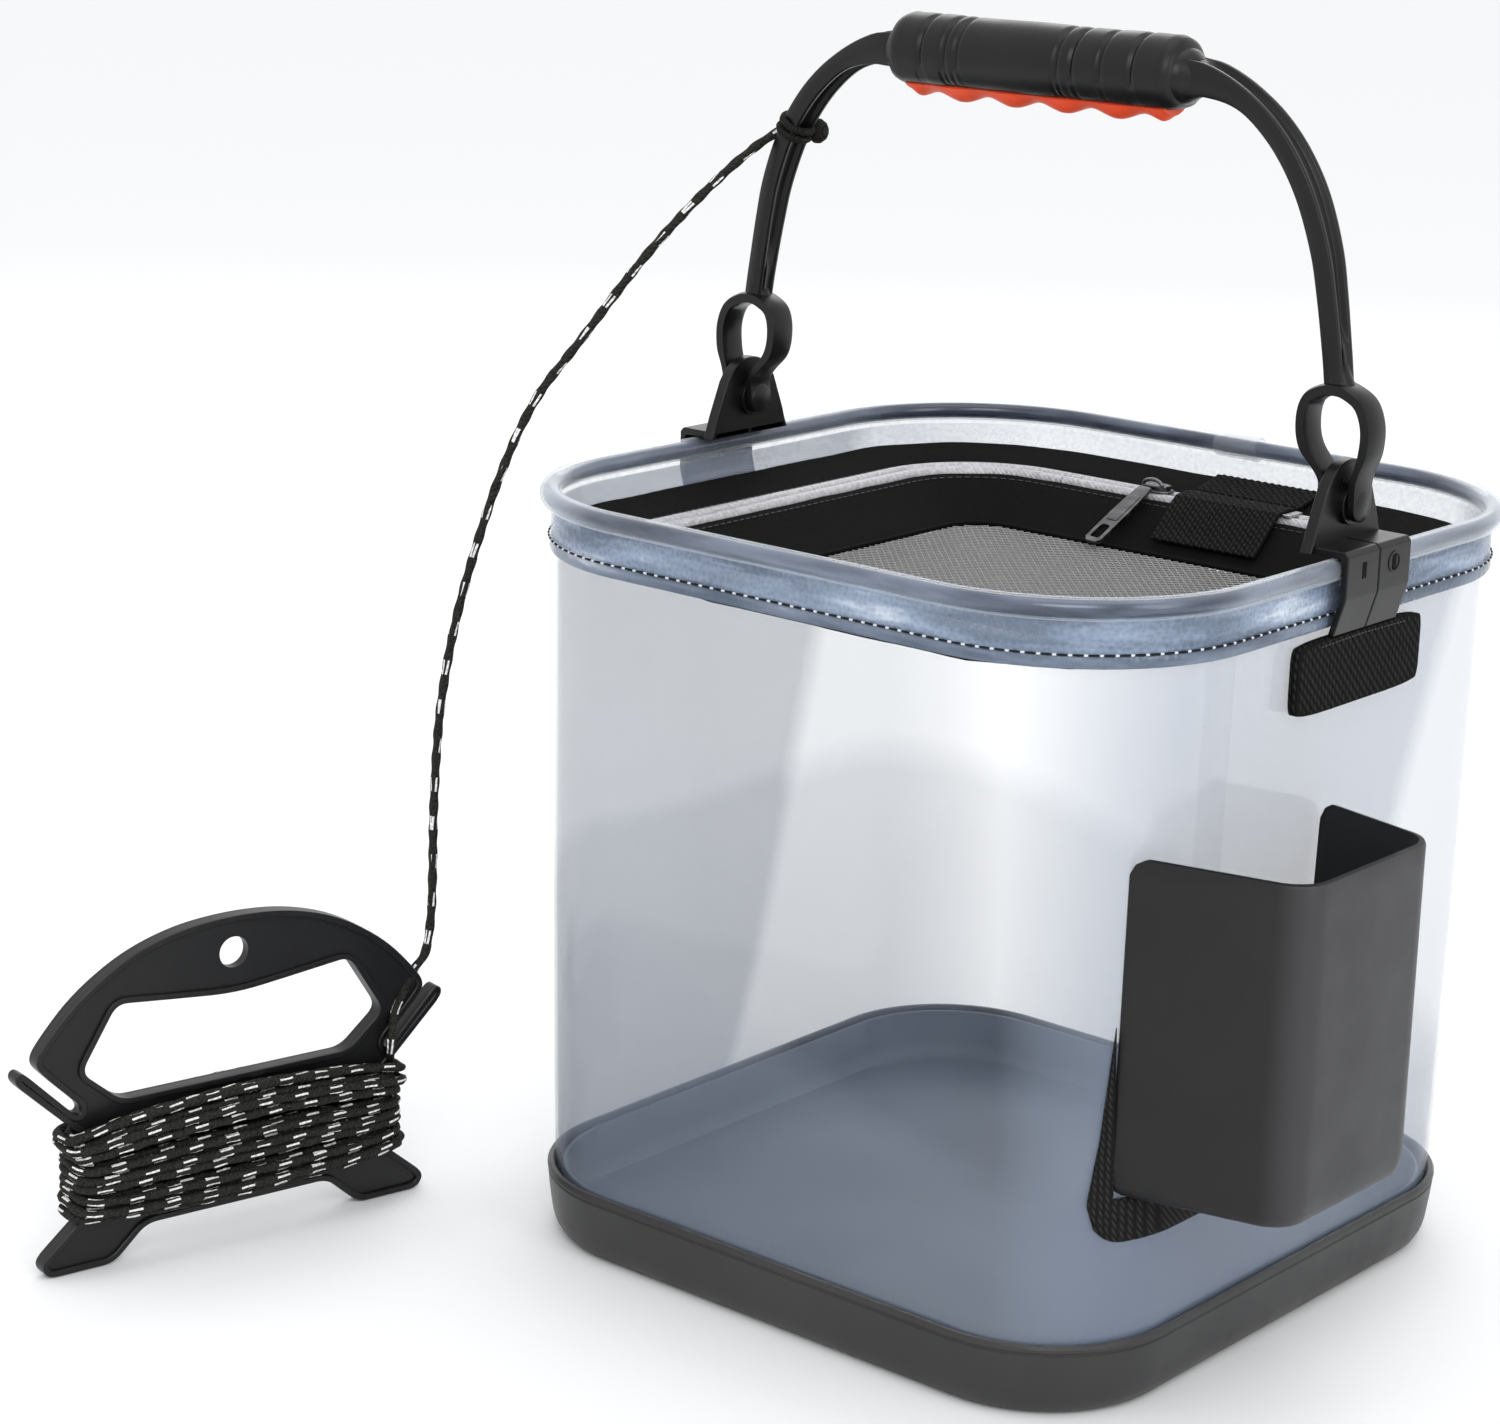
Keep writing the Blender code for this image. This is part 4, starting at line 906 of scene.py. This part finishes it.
def build_slider():
    """The slider's shield-shaped body with its guide ridge and loop, and its slotted pull tab."""
    shield = ((-0.0066, 0.0), (-0.005, 0.0036), (-0.001, 0.0042), (0.0045, 0.0034), (0.0064, 0.002))
    outline = [(SLIDER_X + x, ZIP_LINE + y) for x, y in shield]
    outline += [(SLIDER_X + x, ZIP_LINE - y) for x, y in reversed(shield[1:])]
    inner = [(SLIDER_X + 0.82 * (x - SLIDER_X), ZIP_LINE + 0.8 * (y - ZIP_LINE)) for x, y in outline]
    bm = bmesh.new()
    add_slab(bm, outline, 0.2373, 0.2381)
    add_slab(bm, inner, 0.238, 0.2397)
    bevel(piece_from(bm, "slider_shield", "gunmetal", "slider", stands_for="zip_slider"), 0.0005)
    loop = []
    for step in range(13):
        angle = math.pi * step / 12.0
        x, z = SLIDER_X + 0.004 * math.cos(angle), 0.2394 + 0.0022 * math.sin(angle)
        loop.append((x, ZIP_LINE - 0.0022, z))
    lofted("slider_loop", ribbon(loop, 0.0007, 8), "gunmetal", "slider", caps=True, sharp=0.0)
    half, thick, end = 0.004, 0.0007, TAB_LENGTH
    edge = both_sides([
        (half - 0.0012, 0.0), (half - 0.0006, 0.003), (half, 0.012), (half, end - 0.0016),
        (half - 0.0016, end),
    ])
    hole = both_sides([
        (0.0014, 0.0205), (0.0023, 0.0212), (0.0024, 0.0225), (0.0024, end - 0.0026),
        (0.0018, end - 0.002),
    ])
    bm = bmesh.new()
    levels = ((edge, -thick), (edge, thick), (hole, thick), (hole, -thick))
    add_loft(bm, [[Vector((x, -along, level)) for x, along in ring] for ring, level in levels], wrap=True)
    ridge = both_sides([(0.0024, 0.0052), (0.0024, 0.018)])
    add_slab(bm, [(x, -along) for x, along in ridge], thick - 0.0001, thick + 0.0003)
    lean = Matrix.Rotation(-TAB_TURN, 4, "Z") @ Matrix.Rotation(TAB_SLOPE, 4, "X")
    bmesh.ops.transform(bm, matrix=Matrix.Translation(TAB_HINGE) @ lean, verts=bm.verts)
    bevel(piece_from(bm, "pull_tab", "gunmetal", "pull_tab", stands_for="zip_pull_tab"), 0.0003)


# ---------------------------------------------------------------- pouch


def wall_x(y, z):
    """Where the wall's outside lies on the +X side at a given y and height."""
    half, corner = wall_at(z)
    past = max(0.0, abs(y) - (half - corner))
    return half - corner + math.sqrt(corner * corner - past * past)


def pouch_line(inset, z, rear_drop=0.0):
    """The pouch's wall in plan as an open line from one rear edge round the front to the other."""
    front, corner = POUCH_HIGH.x - inset, 0.0125 - 0.6 * inset
    low_y, high_y = -0.0968 + inset, -0.0062 - inset
    low_x, high_x = wall_x(low_y, z) + 0.0005, wall_x(high_y, z) + 0.0005
    points = [
        Vector((low_x, low_y, z - rear_drop)),
        Vector((low_x + 0.0014, low_y + 0.0002, z - 0.3 * rear_drop)),
        Vector((low_x + 0.004, low_y + 0.0006, z)),
    ]
    for middle, start, end in ((-0.088 + inset + corner, -80.0, 0.0), (-0.014 - inset - corner, 0.0, 80.0)):
        for step in range(13):
            angle = math.radians(start + (end - start) * step / 12.0)
            x, y = front - corner + corner * math.cos(angle), middle + corner * math.sin(angle)
            points.append(Vector((x, y, z)))
    points.append(Vector((high_x + 0.004, high_y - 0.0006, z)))
    points.append(Vector((high_x + 0.0014, high_y - 0.0002, z - 0.3 * rear_drop)))
    points.append(Vector((high_x, high_y, z - rear_drop)))
    return points


def build_pouch():
    thick, base, top = POUCH_THICK, POUCH_LOW.z, POUCH_HIGH.z
    levels = np.linspace(base + 0.03, top - 0.0075, 7)
    stations = [  # inset, z, rear drop: up the outside and down the inside
        (0.006, base, 0.0), (0.0034, base + 0.0004, 0.0), (0.0016, base + 0.0018, 0.0),
        (0.0006, base + 0.0042, 0.0), (0.0, base + 0.009, 0.0),
    ]
    stations += [(0.0, z, 0.0) for z in levels]
    stations += [(0.0, top - 0.0012, 0.004), (0.0004, top - 0.0003, 0.0052)]
    stations += [(thick - 0.0004, top, 0.0052), (thick, top - 0.0006, 0.0044)]
    stations += [(thick, z, 0.0) for z in levels[::-1]]
    stations += [
        (thick, base + 0.01, 0.0), (thick + 0.001, base + 0.0052, 0.0),
        (thick + 0.003, base + 0.0026, 0.0), (thick + 0.006, base + 0.0022, 0.0),
    ]
    bm = bmesh.new()
    made = add_loft(bm, [pouch_line(*station) for station in stations], ring_closed=False)
    for row in (made[0], made[-1]):
        bm.faces.new(row)
    last = len(made) - 1
    for side in (0, -1):
        for low in range(len(made) // 2):
            corners = [made[k][side] for k in (low, low + 1, last - low - 1, last - low)]
            unique = list(dict.fromkeys(corners))
            if len(unique) > 2:
                bm.faces.new(unique)
    piece_from(bm, "pouch_shell", "pouch", stands_for="pouch", sharp=40.0)
    build_foot()


def build_foot():
    """The pouch's foot: it lies on the wall below the pouch, and beside its -Y edge it narrows upward."""
    flat = rounded_square(0.12, 0.049, 0.0, 30, 40)
    columns = [i for i, p in enumerate(flat) if -0.103 < p.y < -0.0065 and p.x > 0.0]
    walked, beside = 0.0, -0.0955
    reach = (flat[columns[0]] - min((flat[i] for i in columns), key=lambda p: abs(p.y - beside))).length
    rings = []
    for before, i in zip([columns[0], *columns], columns):
        walked += (flat[i] - flat[before]).length
        curl = 1.0 - min(1.0, walked / 0.012)
        low = 0.057 + 0.012 * (1.0 - math.sqrt(1.0 - curl * curl))
        high = 0.0713 + 0.1 * (walked / reach) ** 1.5 if flat[i].y < beside else 0.0713
        outer, inner = [], []
        for share in np.linspace(0.0, 1.0, 13):
            z = low + (high - low) * float(share)
            half, corner = wall_at(z)
            thick = 0.0016 if 0.0 < share < 1.0 else 0.0009
            outer.append(rounded_square(half + thick, corner + thick, z, 30, 40)[i])
            inner.append(rounded_square(half + 0.0003, corner, z, 30, 40)[i])
        rings.append(outer + inner[::-1])
    lofted("pouch_foot", rings, "flange", caps=True, stands_for="pouch_flange", sharp=40.0)


# ---------------------------------------------------------------- clips and handle


def tongue_outline():
    points = [
        (0.02, SHOULDER_TOP - 0.0024), (0.0185, SHOULDER_TOP + 0.001), (0.0172, 0.2635), (0.0122, 0.2752)
    ]
    for step in range(1, 9):
        angle = math.radians(30.0 + 7.5 * step)
        points.append((0.0135 * math.cos(angle), 0.2688 + 0.014 * math.sin(angle)))
    return points + [(-y, z) for y, z in reversed(points[:-1])]


def disc(x, y, z, radius, steps=28):
    return [Vector((x, y + radius * math.cos(a), z + radius * math.sin(a))) for a in turn(steps)]


def add_ring_solid(bm, low_x, high_x, y, z, outer, inner, steps=28):
    corners = ((low_x, inner), (low_x, outer), (high_x, outer), (high_x, inner))
    add_loft(bm, [disc(x, y, z, radius, steps) for x, radius in corners], wrap=True)


def build_clip(side, name):
    inner, tongue = PLATE_OUTER - PLATE_THICK, PIVOT_X - 0.5 * TONGUE_THICK
    profile = [  # x, z: up the outside, in along the shoulder and down the inside
        (0.129, 0.2324), (PLATE_OUTER - 0.0002, 0.2436), (PLATE_OUTER, 0.2446),
        (PLATE_OUTER, SHOULDER_TOP - 0.0014), (PLATE_OUTER - 0.0014, SHOULDER_TOP),
        (tongue, SHOULDER_TOP), (tongue, SHOULDER_TOP - 0.0024), (inner - 0.0008, SHOULDER_TOP - 0.0024),
        (inner, SHOULDER_TOP - 0.0034), (inner, 0.2446), (0.1268, 0.2324),
    ]
    bm = bmesh.new()
    for low, high in ((-PLATE_HALF_Y, -0.00022), (0.00022, PLATE_HALF_Y)):
        add_slab(bm, profile, low, high, "y", side)
    low = side * PIVOT_X - 0.5 * TONGUE_THICK
    add_slab(bm, tongue_outline(), low, low + TONGUE_THICK, "x")
    bevel(piece_from(bm, "clip_body_" + name, "moulded", stands_for="clip_bracket_" + name), 0.0005)
    middle = side * PIVOT_X
    bm = bmesh.new()
    add_ring_solid(bm, middle - 0.0038, middle + 0.0038, 0.0, PIVOT_Z, 0.0062, 0.0023)
    face = side * (PLATE_OUTER - 0.0003)
    low, high = sorted((face, face + side * 0.0006))
    add_ring_solid(bm, low, high, 0.0085, 0.252, 0.0034, 0.0026)
    bevel(piece_from(bm, "clip_bosses_" + name, "moulded"), 0.0002, 2)
    build_clip_slot_shades(side, name, face)
    bm = bmesh.new()
    add_ring_solid(bm, middle - 0.0059, middle + 0.0059, 0.0, PIVOT_Z, 0.002, 0.0003, 20)
    bevel(piece_from(bm, "pin_" + name, "steel", stands_for="pivot_pin_" + name), 0.0002, 2)
    build_pad(side, name)


def build_clip_slot_shades(side, name, face):
    """The two moulded slots of the plate, as thin dark plates on it: painted shade where the slots' hollows
    are.
    """
    low, high = sorted((face, face + side * 0.00045))
    bm = bmesh.new()
    for middle in (-0.0085, 0.0085):
        left, right = middle - 0.0011, middle + 0.0011
        add_slab(bm, [(left, 0.2495), (right, 0.2495), (right, 0.2545), (left, 0.2545)], low, high, "x")
    bevel(piece_from(bm, "clip_slot_shade_" + name, "scrim", slot="moulded"), 0.0001, 1)


def build_pad(side, name):
    """The ribbed webbing pad under a clip, with rounded corners and a line of stitches."""
    low, high = PAD_LOW, PAD_HIGH
    rows, columns = 34, 140
    bm = bmesh.new()
    front, back = [], []
    for i in range(rows + 1):
        v = i / rows
        front_row, back_row = [], []
        for j in range(columns + 1):
            u = 2.0 * j / columns - 1.0
            square = abs(u) ** 7 + abs(2.0 * v - 1.0) ** 7
            edge = min(1.0, 3.0 * (1.0 - min(1.0, square)))
            y = u * high.y * (1.0 - 0.035 * abs(2.0 * v - 1.0) ** 6)
            z = low.z + (high.z - low.z) * (0.5 + (v - 0.5) * (1.0 - 0.1 * abs(u) ** 6))
            rib = 0.5 + 0.5 * math.cos(math.tau * j / 4.0)
            x = high.x - 0.0007 + (0.0002 + 0.0005 * rib) * edge
            front_row.append(bm.verts.new((side * x, y, z)))
            back_row.append(bm.verts.new((side * (low.x + 0.0002), y, z)))
        front.append(front_row)
        back.append(back_row)
    add_sheets(bm, front, back)
    pad = piece_from(bm, "pad_" + name, "webbing", stands_for="clip_pad_" + name, sharp=0.0)
    x = side * (high.x + 0.0001)
    track = [(x, -0.024, 0.2303), (x, 0.0, 0.2308), (x, 0.024, 0.2303)]
    stitches("pad_stitching_" + name, track, 0.0018, 0.001, 0.0002, "pale_thread", slot="webbing")


def beam_section(web, wide, lip):
    """The bail's section, across the arch and along Y: rounded flanges with a channel on each face."""
    edge = 0.0017
    quarter = (
        (lip - 0.0004, wide), (lip, wide - 0.0004), (lip, wide - edge),
        (lip - 0.0004, wide - edge - 0.0004), (web + 0.0003, wide - edge - 0.0006),
        (web, wide - edge - 0.001),
    )
    right = list(quarter) + [(a, -b) for a, b in reversed(quarter)]
    return right + [(-a, -b) for a, b in right]


def swept(line, section, side):
    """Rings of a section, given for each index as (across, y), along a line in the X-Z plane."""
    rings = []
    for index, point in enumerate(line):
        along = heading(line, index)
        across = Vector((along.z, 0.0, -along.x))
        places = [(point + across * out, y) for out, y in section(index, point)]
        rings.append([Vector((side * place.x, y, place.z)) for place, y in places])
    return rings


def build_bail():
    neck_z = 0.3032
    line = catmull([(x, 0.0, z) for x, z in ARCH_ROUTE], 0.0021)
    route = [p for p in line if p.z > neck_z and p.x > 0.045]

    def section(index, point):
        start = smooth_step((index - 4) / 4.0)
        end = smooth_step((point.x - GRIP_HALF - 0.0045) / 0.006)
        flare = 1.0 - smooth_step((point.x - GRIP_HALF) / 0.026)
        lip = 0.0031 + 0.0024 * flare
        web = lip - (lip - 0.001) * min(start, end)
        wide = 0.0039 + 0.0012 * smooth_step((point.z - 0.305) / 0.06) + 0.0006 * flare
        return beam_section(web, wide, lip)

    for side, name, node in ((1, "near", "bail"), (-1, "far", None)):
        rings = swept(route, section, side)
        lofted("bail_arm_" + name, rings, "moulded", "handle", caps=True, stands_for=node, sharp=50.0)
        build_fork(side, name)


def build_fork(side, name):
    """The fork's loop and its two legs as one swept bar, with round eyes on the hinge axis."""
    outer = PIVOT_X + LEG_INNER + 0.5 * LEG_THICK
    inner = PIVOT_X - LEG_INNER - 0.5 * LEG_THICK
    route = (
        (outer, PIVOT_Z), (outer, 0.2765), (0.1266, 0.285), (0.1268, 0.293), (0.1241, 0.2995),
        (0.119, 0.3026), (0.115, 0.3034), (0.1108, 0.3026), (0.106, 0.2995), (0.1044, 0.293),
        (0.106, 0.285), (inner, 0.2765), (inner, PIVOT_Z),
    )
    octagon = (
        (-1.0, -0.72), (-0.72, -1.0), (0.72, -1.0), (1.0, -0.72), (1.0, 0.72), (0.72, 1.0),
        (-0.72, 1.0), (-1.0, 0.72),
    )

    def section(_, point):
        half = 0.5 * LEG_THICK + 0.0005 * smooth_step((point.z - 0.28) / 0.006)
        return [(out * half, y * LEG_HALF_Y) for out, y in octagon]

    bm = bmesh.new()
    add_loft(bm, swept(catmull([(x, 0.0, z) for x, z in route], 0.0012), section, side), caps=True)
    for edge in (outer, inner):
        low, high = sorted((side * (edge - 0.5 * LEG_THICK), side * (edge + 0.5 * LEG_THICK)))
        small = LEG_HALF_Y - 0.0006
        rims = ((low, small), (low + 0.0005, LEG_HALF_Y), (high - 0.0005, LEG_HALF_Y), (high, small))
        add_loft(bm, [disc(x, 0.0, PIVOT_Z, radius) for x, radius in rims], caps=True)
    piece_from(bm, "fork_" + name, "moulded", "handle", sharp=50.0)
    rings = []
    for z, x_half, y_half, shift in (
        (0.3028, 0.0058, 0.0046, 0.0), (0.305, 0.0044, 0.0043, -0.0001),
        (0.308, 0.0033, 0.004, -0.0006), (0.311, 0.0029, 0.0038, -0.0011),
    ):
        plan = [(0.1148 + shift + x_half * math.cos(a), y_half * math.sin(a)) for a in turn(20)]
        rings.append([Vector((side * x, y, z)) for x, y in plan])
    lofted("fork_neck_" + name, rings, "moulded", "handle", caps=True, sharp=60.0)


def build_grip():
    stations = [
        (-GRIP_HALF, 0.006), (-GRIP_HALF, 0.008), (-GRIP_HALF + 0.0006, 0.0098),
        (-GRIP_HALF + 0.0018, 0.0113), (-GRIP_HALF + 0.0042, GRIP_RADIUS - 0.0001),
    ]
    grooves = (-0.0405, -0.031, -0.0262, 0.0125, 0.0182, 0.0288, 0.0405)
    for x in np.linspace(-GRIP_HALF + 0.006, GRIP_HALF - 0.006, 150):
        dip = sum(math.exp(-(((x - g) / 0.0009) ** 2)) for g in grooves)
        swell = 0.0001 * math.cos(x * 160.0)
        stations.append((float(x), GRIP_RADIUS - 0.0002 + swell - 0.001 * min(1.0, dip)))
    stations += [(-x, radius) for x, radius in reversed(stations[:5])]
    steps = 56
    rings = []
    for x, radius in stations:
        grooved = radius < GRIP_RADIUS - 0.0006 and abs(x) < GRIP_HALF - 0.006
        ring = []
        for step in range(steps):
            angle = math.tau * step / steps
            flat = max(0.0, -math.sin(angle)) ** 6
            reach = radius
            if grooved and math.sin(angle) < -0.25:
                reach = GRIP_RADIUS - 0.0002
            reach *= 1.0 - 0.15 * flat
            ring.append(Vector((x, reach * math.cos(angle), GRIP_Z + reach * math.sin(angle))))
        rings.append(ring)
    lofted("grip_sleeve", rings, "grip", "handle", wrap=True, stands_for="grip", sharp=60.0)
    build_insert()
    collar = (  # x, radius, share of the radius along Y
        (0.054, 0.01, 1.0), (0.0552, 0.0096, 1.0), (0.0566, 0.0086, 0.95), (0.0585, 0.0071, 0.85),
        (0.0605, 0.0058, 0.8),
    )
    for side, name in ((1, "near"), (-1, "far")):
        rings = []
        for x, radius, squash in collar:
            z = GRIP_Z - 0.001 * ((x - 0.054) / 0.009) ** 2
            circle = [(radius * squash * math.cos(a), radius * 0.88 * math.sin(a)) for a in turn(28)]
            rings.append([Vector((side * x, y, z + up)) for y, up in circle])
        lofted("grip_collar_" + name, rings, "moulded", "handle", caps=True, sharp=50.0)


def build_insert():
    """The soft insert under the grip, with five finger waves."""
    half = 0.05
    rings = []
    for x in np.linspace(-half, half, 121):
        phase = math.tau * 5.0 * (x + half) / (2.0 * half)
        ends = smooth_step((half - abs(x)) / 0.004)
        depth = 0.0008 + (0.0014 + 0.0012 * math.cos(phase)) * ends
        section = []
        for a in np.linspace(-0.5, 0.5, 13):
            section.append((a, GRIP_RADIUS - 0.0007 + depth * math.cos(a * math.pi * 0.92)))
        section += [(a, GRIP_RADIUS - 0.0025) for a in (0.45, 0.0, -0.45)]
        lean = 1.06
        rings.append(
            [Vector((x, r * math.sin(a * lean), GRIP_Z - r * math.cos(a * lean))) for a, r in section]
        )
    lofted("grip_wave", rings, "orange", "handle", caps=True, stands_for="grip_insert", sharp=50.0)


# ---------------------------------------------------------------- winder and rope


def winder_point(along, up, out=0.0):
    return WINDER_MID + WINDER_ALONG * along + WINDER_OUT * out + Vector((0.0, 0.0, up))


def smooth_outline(points, reach=0.004):
    """Rounds an outline's corners with short arcs whose ends lie at most reach from each corner."""
    rounded = []
    count = len(points)
    for index in range(count):
        before, here, after = (Vector(points[(index + k) % count]) for k in (-1, 0, 1))
        slight = (here - before).angle(after - here) < math.radians(35.0)
        most = 1.0 if slight else reach
        first = here + (before - here).normalized() * min(most, 0.47 * (before - here).length)
        last = here + (after - here).normalized() * min(most, 0.47 * (after - here).length)
        for step in range(7):
            t = step / 6.0
            place = first * (1.0 - t) ** 2 + here * 2.0 * t * (1.0 - t) + last * t * t
            rounded.append((place.x, place.y))
    return rounded


def plate_with_holes(bm, outer, holes, low, high):
    """A flat winder plate between two depths, with holes through it."""
    sides = []
    for out in (low, high):
        loops = [[bm.verts.new(winder_point(a, u, out)) for a, u in outline] for outline in (outer, *holes)]
        edges = []
        for loop in loops:
            edges += [bm.edges.new(pair) for pair in zip(loop, loop[1:] + loop[:1])]
        bmesh.ops.triangle_fill(bm, use_beauty=True, use_dissolve=False, edges=edges)
        sides.append(loops)
    for first, second in zip(*sides):
        for index in range(len(first)):
            after = (index + 1) % len(first)
            bm.faces.new((first[index], first[after], second[after], second[index]))


def flat_mix(first, second, share):
    return [(a + (c - a) * share, b + (d - b) * share) for (a, b), (c, d) in zip(first, second)]


def inset_outline(outline, width):
    """Moves an outline sideways; a positive width moves it inward, a negative one outward."""
    area = sum(a * d - c * b for (a, b), (c, d) in zip(outline, outline[1:] + outline[:1]))
    sign = 1.0 if area > 0.0 else -1.0
    moved = []
    count = len(outline)
    for index, (a, b) in enumerate(outline):
        before, after = outline[index - 1], outline[(index + 1) % count]
        along = Vector((after[0] - before[0], after[1] - before[1])).normalized()
        moved.append((a - sign * along.y * width, b + sign * along.x * width))
    return moved


def build_winder():
    left = [(-along, up) for along, up in reversed(WINDER_HALF[1:-1])]
    outer = smooth_outline(list(WINDER_HALF) + left)
    opening = smooth_outline(WINDER_OPENING)
    hang_hole = [(0.0053 * math.cos(a), 0.0985 + 0.0053 * math.sin(a)) for a in turn(32)]
    bm = bmesh.new()
    web = 0.5 * WINDER_THICK - 0.0012
    plate_with_holes(bm, outer, [opening, hang_hole], -web, web)
    bmesh.ops.remove_doubles(bm, verts=bm.verts, dist=1e-6)
    piece_from(bm, "winder_plate", "winder", stands_for="winder")
    bm = bmesh.new()
    for outline, width in ((outer, 0.0022), (opening, -0.002)):
        flat = inset_outline(outline, width)
        for sign in (-1.0, 1.0):
            low, high = sign * (web - 0.0003), sign * 0.5 * WINDER_THICK
            rounded = high - sign * 0.0003
            section = (
                (outline, low), (outline, rounded), (flat_mix(outline, flat, 0.15), high),
                (flat_mix(outline, flat, 0.85), high), (flat, rounded), (flat, low),
            )
            rings = [[winder_point(a, u, depth) for a, u in source] for source, depth in section]
            add_loft(bm, rings, wrap=True)
    piece_from(bm, "winder_rims", "winder", sharp=40.0)


def squared(value, power):
    return math.copysign(abs(value) ** power, value)


def winding_path():
    """The rope's turns round the winder's waist: layer on layer, fanned out across the front and back."""
    steps = 40
    rng = np.random.default_rng(7)
    points = []
    spacing = 2.0 * ROPE_RADIUS + 0.00012
    for layer, number in enumerate(ROPE_LAYERS):
        order = range(number) if layer % 2 else range(number - 1, -1, -1)
        lanes = [place - 0.5 * (number - 1) for place in order]
        for lane, next_lane in zip(lanes, lanes[1:] + lanes[-1:]):
            tilt = rng.uniform(-0.9, 0.9)
            for step in range(steps):
                share = step / steps
                angle = math.tau * share
                here = lane + (next_lane - lane) * smooth_step((share - 0.7) / 0.3)
                bend, side = squared(math.cos(angle), 0.34), squared(math.sin(angle), 0.34)
                out = ROPE_RADIUS + layer * spacing
                fan = 1.0 - bend * bend
                up = 0.033 + here * spacing * (1.06 + 0.34 * fan) + 0.002 * fan
                up += tilt * 0.0016 * math.sin(angle)
                past = max(0.0, abs(up - 0.0325) - 0.0085)
                along = bend * (0.0515 + out + 1.15 * past)
                across = side * (0.5 * WINDER_THICK + out + 0.0004 + 0.0012 * fan)
                points.append(winder_point(along, up, across))
    return points


def rope_mesh(line):
    """A tube with its distance along and angle round kept for the braid's pattern, and its length."""
    braid_turn = 0.0085
    rings = ribbon(line, ROPE_RADIUS, ROPE_SIDES)
    distance = 0.0
    along, around = [], []
    for index, ring in enumerate(rings):
        centre = line[index]
        if index:
            distance += (centre - line[index - 1]).length
        for step in range(ROPE_SIDES):
            angle = 2.0 * math.tau * step / ROPE_SIDES - distance * math.tau / braid_turn
            ring[step] = centre + (ring[step] - centre) * (1.0 + 0.1 * math.cos(angle))
            along.append(distance)
            around.append(abs(2.0 * step / ROPE_SIDES - 1.0))
    for end in (0, -1):
        rings[end] = [line[end] + (point - line[end]) * 0.7 for point in rings[end]]
    bm = bmesh.new()
    add_loft(bm, rings, caps=True)
    bmesh.ops.recalc_face_normals(bm, faces=bm.faces)
    mesh = bpy.data.meshes.new("rope")
    bm.to_mesh(mesh)
    bm.free()
    for attribute, values in (("along", along), ("around", around)):
        made = mesh.attributes.new(attribute, "FLOAT", "POINT")
        made.data.foreach_set("value", np.array(values, np.float32))
    mesh.materials.append(finishes["rope"])
    mesh.shade_smooth()
    return put_in_scene("rope", mesh), distance


def build_rope():
    route = [Vector(point) for point in ROPE_ROUTE]
    winding = winding_path()
    lead = [
        winder_point(0.0655, 0.0735, 0.0012), winder_point(0.0605, 0.066, 0.003),
        winder_point(0.057, 0.056, 0.006),
    ]
    line = catmull(route + lead + [winding[0] + (winding[0] - winding[6]) * 0.2], 0.0012)
    line = evenly(line + catmull(winding, 0.0012), 0.0013)
    rope, length = rope_mesh(line)
    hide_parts("rope_free", "rope_winding")
    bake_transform(rope)
    build_knot()


def build_knot():
    """Two tight turns of the rope round the arm, and the knot behind it."""
    centre = Vector((-0.1001, 0.0, 0.3612))
    along = Vector((0.0058, 0.0, 0.0112)).normalized()
    across = Vector((along.z, 0.0, -along.x))
    steps = 64
    line = []
    for step in range(2 * steps + 1):
        angle = math.tau * step / steps
        place = centre + along * 0.0031 * (step / steps - 1.0)
        place = place + across * -0.0045 * math.cos(angle)
        line.append(place + Vector((0.0, 0.0062 * math.sin(angle), 0.0)))
    bm = bmesh.new()
    add_loft(bm, ribbon(line, 0.0013, 8), caps=True)
    ball = (  # up, radius
        (-0.004, 0.0012), (-0.0026, 0.003), (-0.0008, 0.0037), (0.0008, 0.0037), (0.0026, 0.003),
        (0.004, 0.0012),
    )
    rings = []
    for up, radius in ball:
        rings.append([KNOT_AT + Vector((radius * math.cos(a), radius * math.sin(a), up)) for a in turn(20)])
    add_loft(bm, rings, caps=True)
    piece_from(bm, "rope_tie", "tie", "handle", stands_for="rope_knot", sharp=60.0)


# ---------------------------------------------------------------- the whole scene


build_camera()
build_studio()
finishes = build_finishes()
build_base()
build_wall()
build_band()
build_piping()
build_lid()
build_zip()
build_net()
build_patch()
build_slider()
build_pouch()
for clip_side, clip_name in ((1, "near"), (-1, "far")):
    build_clip(clip_side, clip_name)
build_bail()
build_grip()
build_winder()
build_rope()
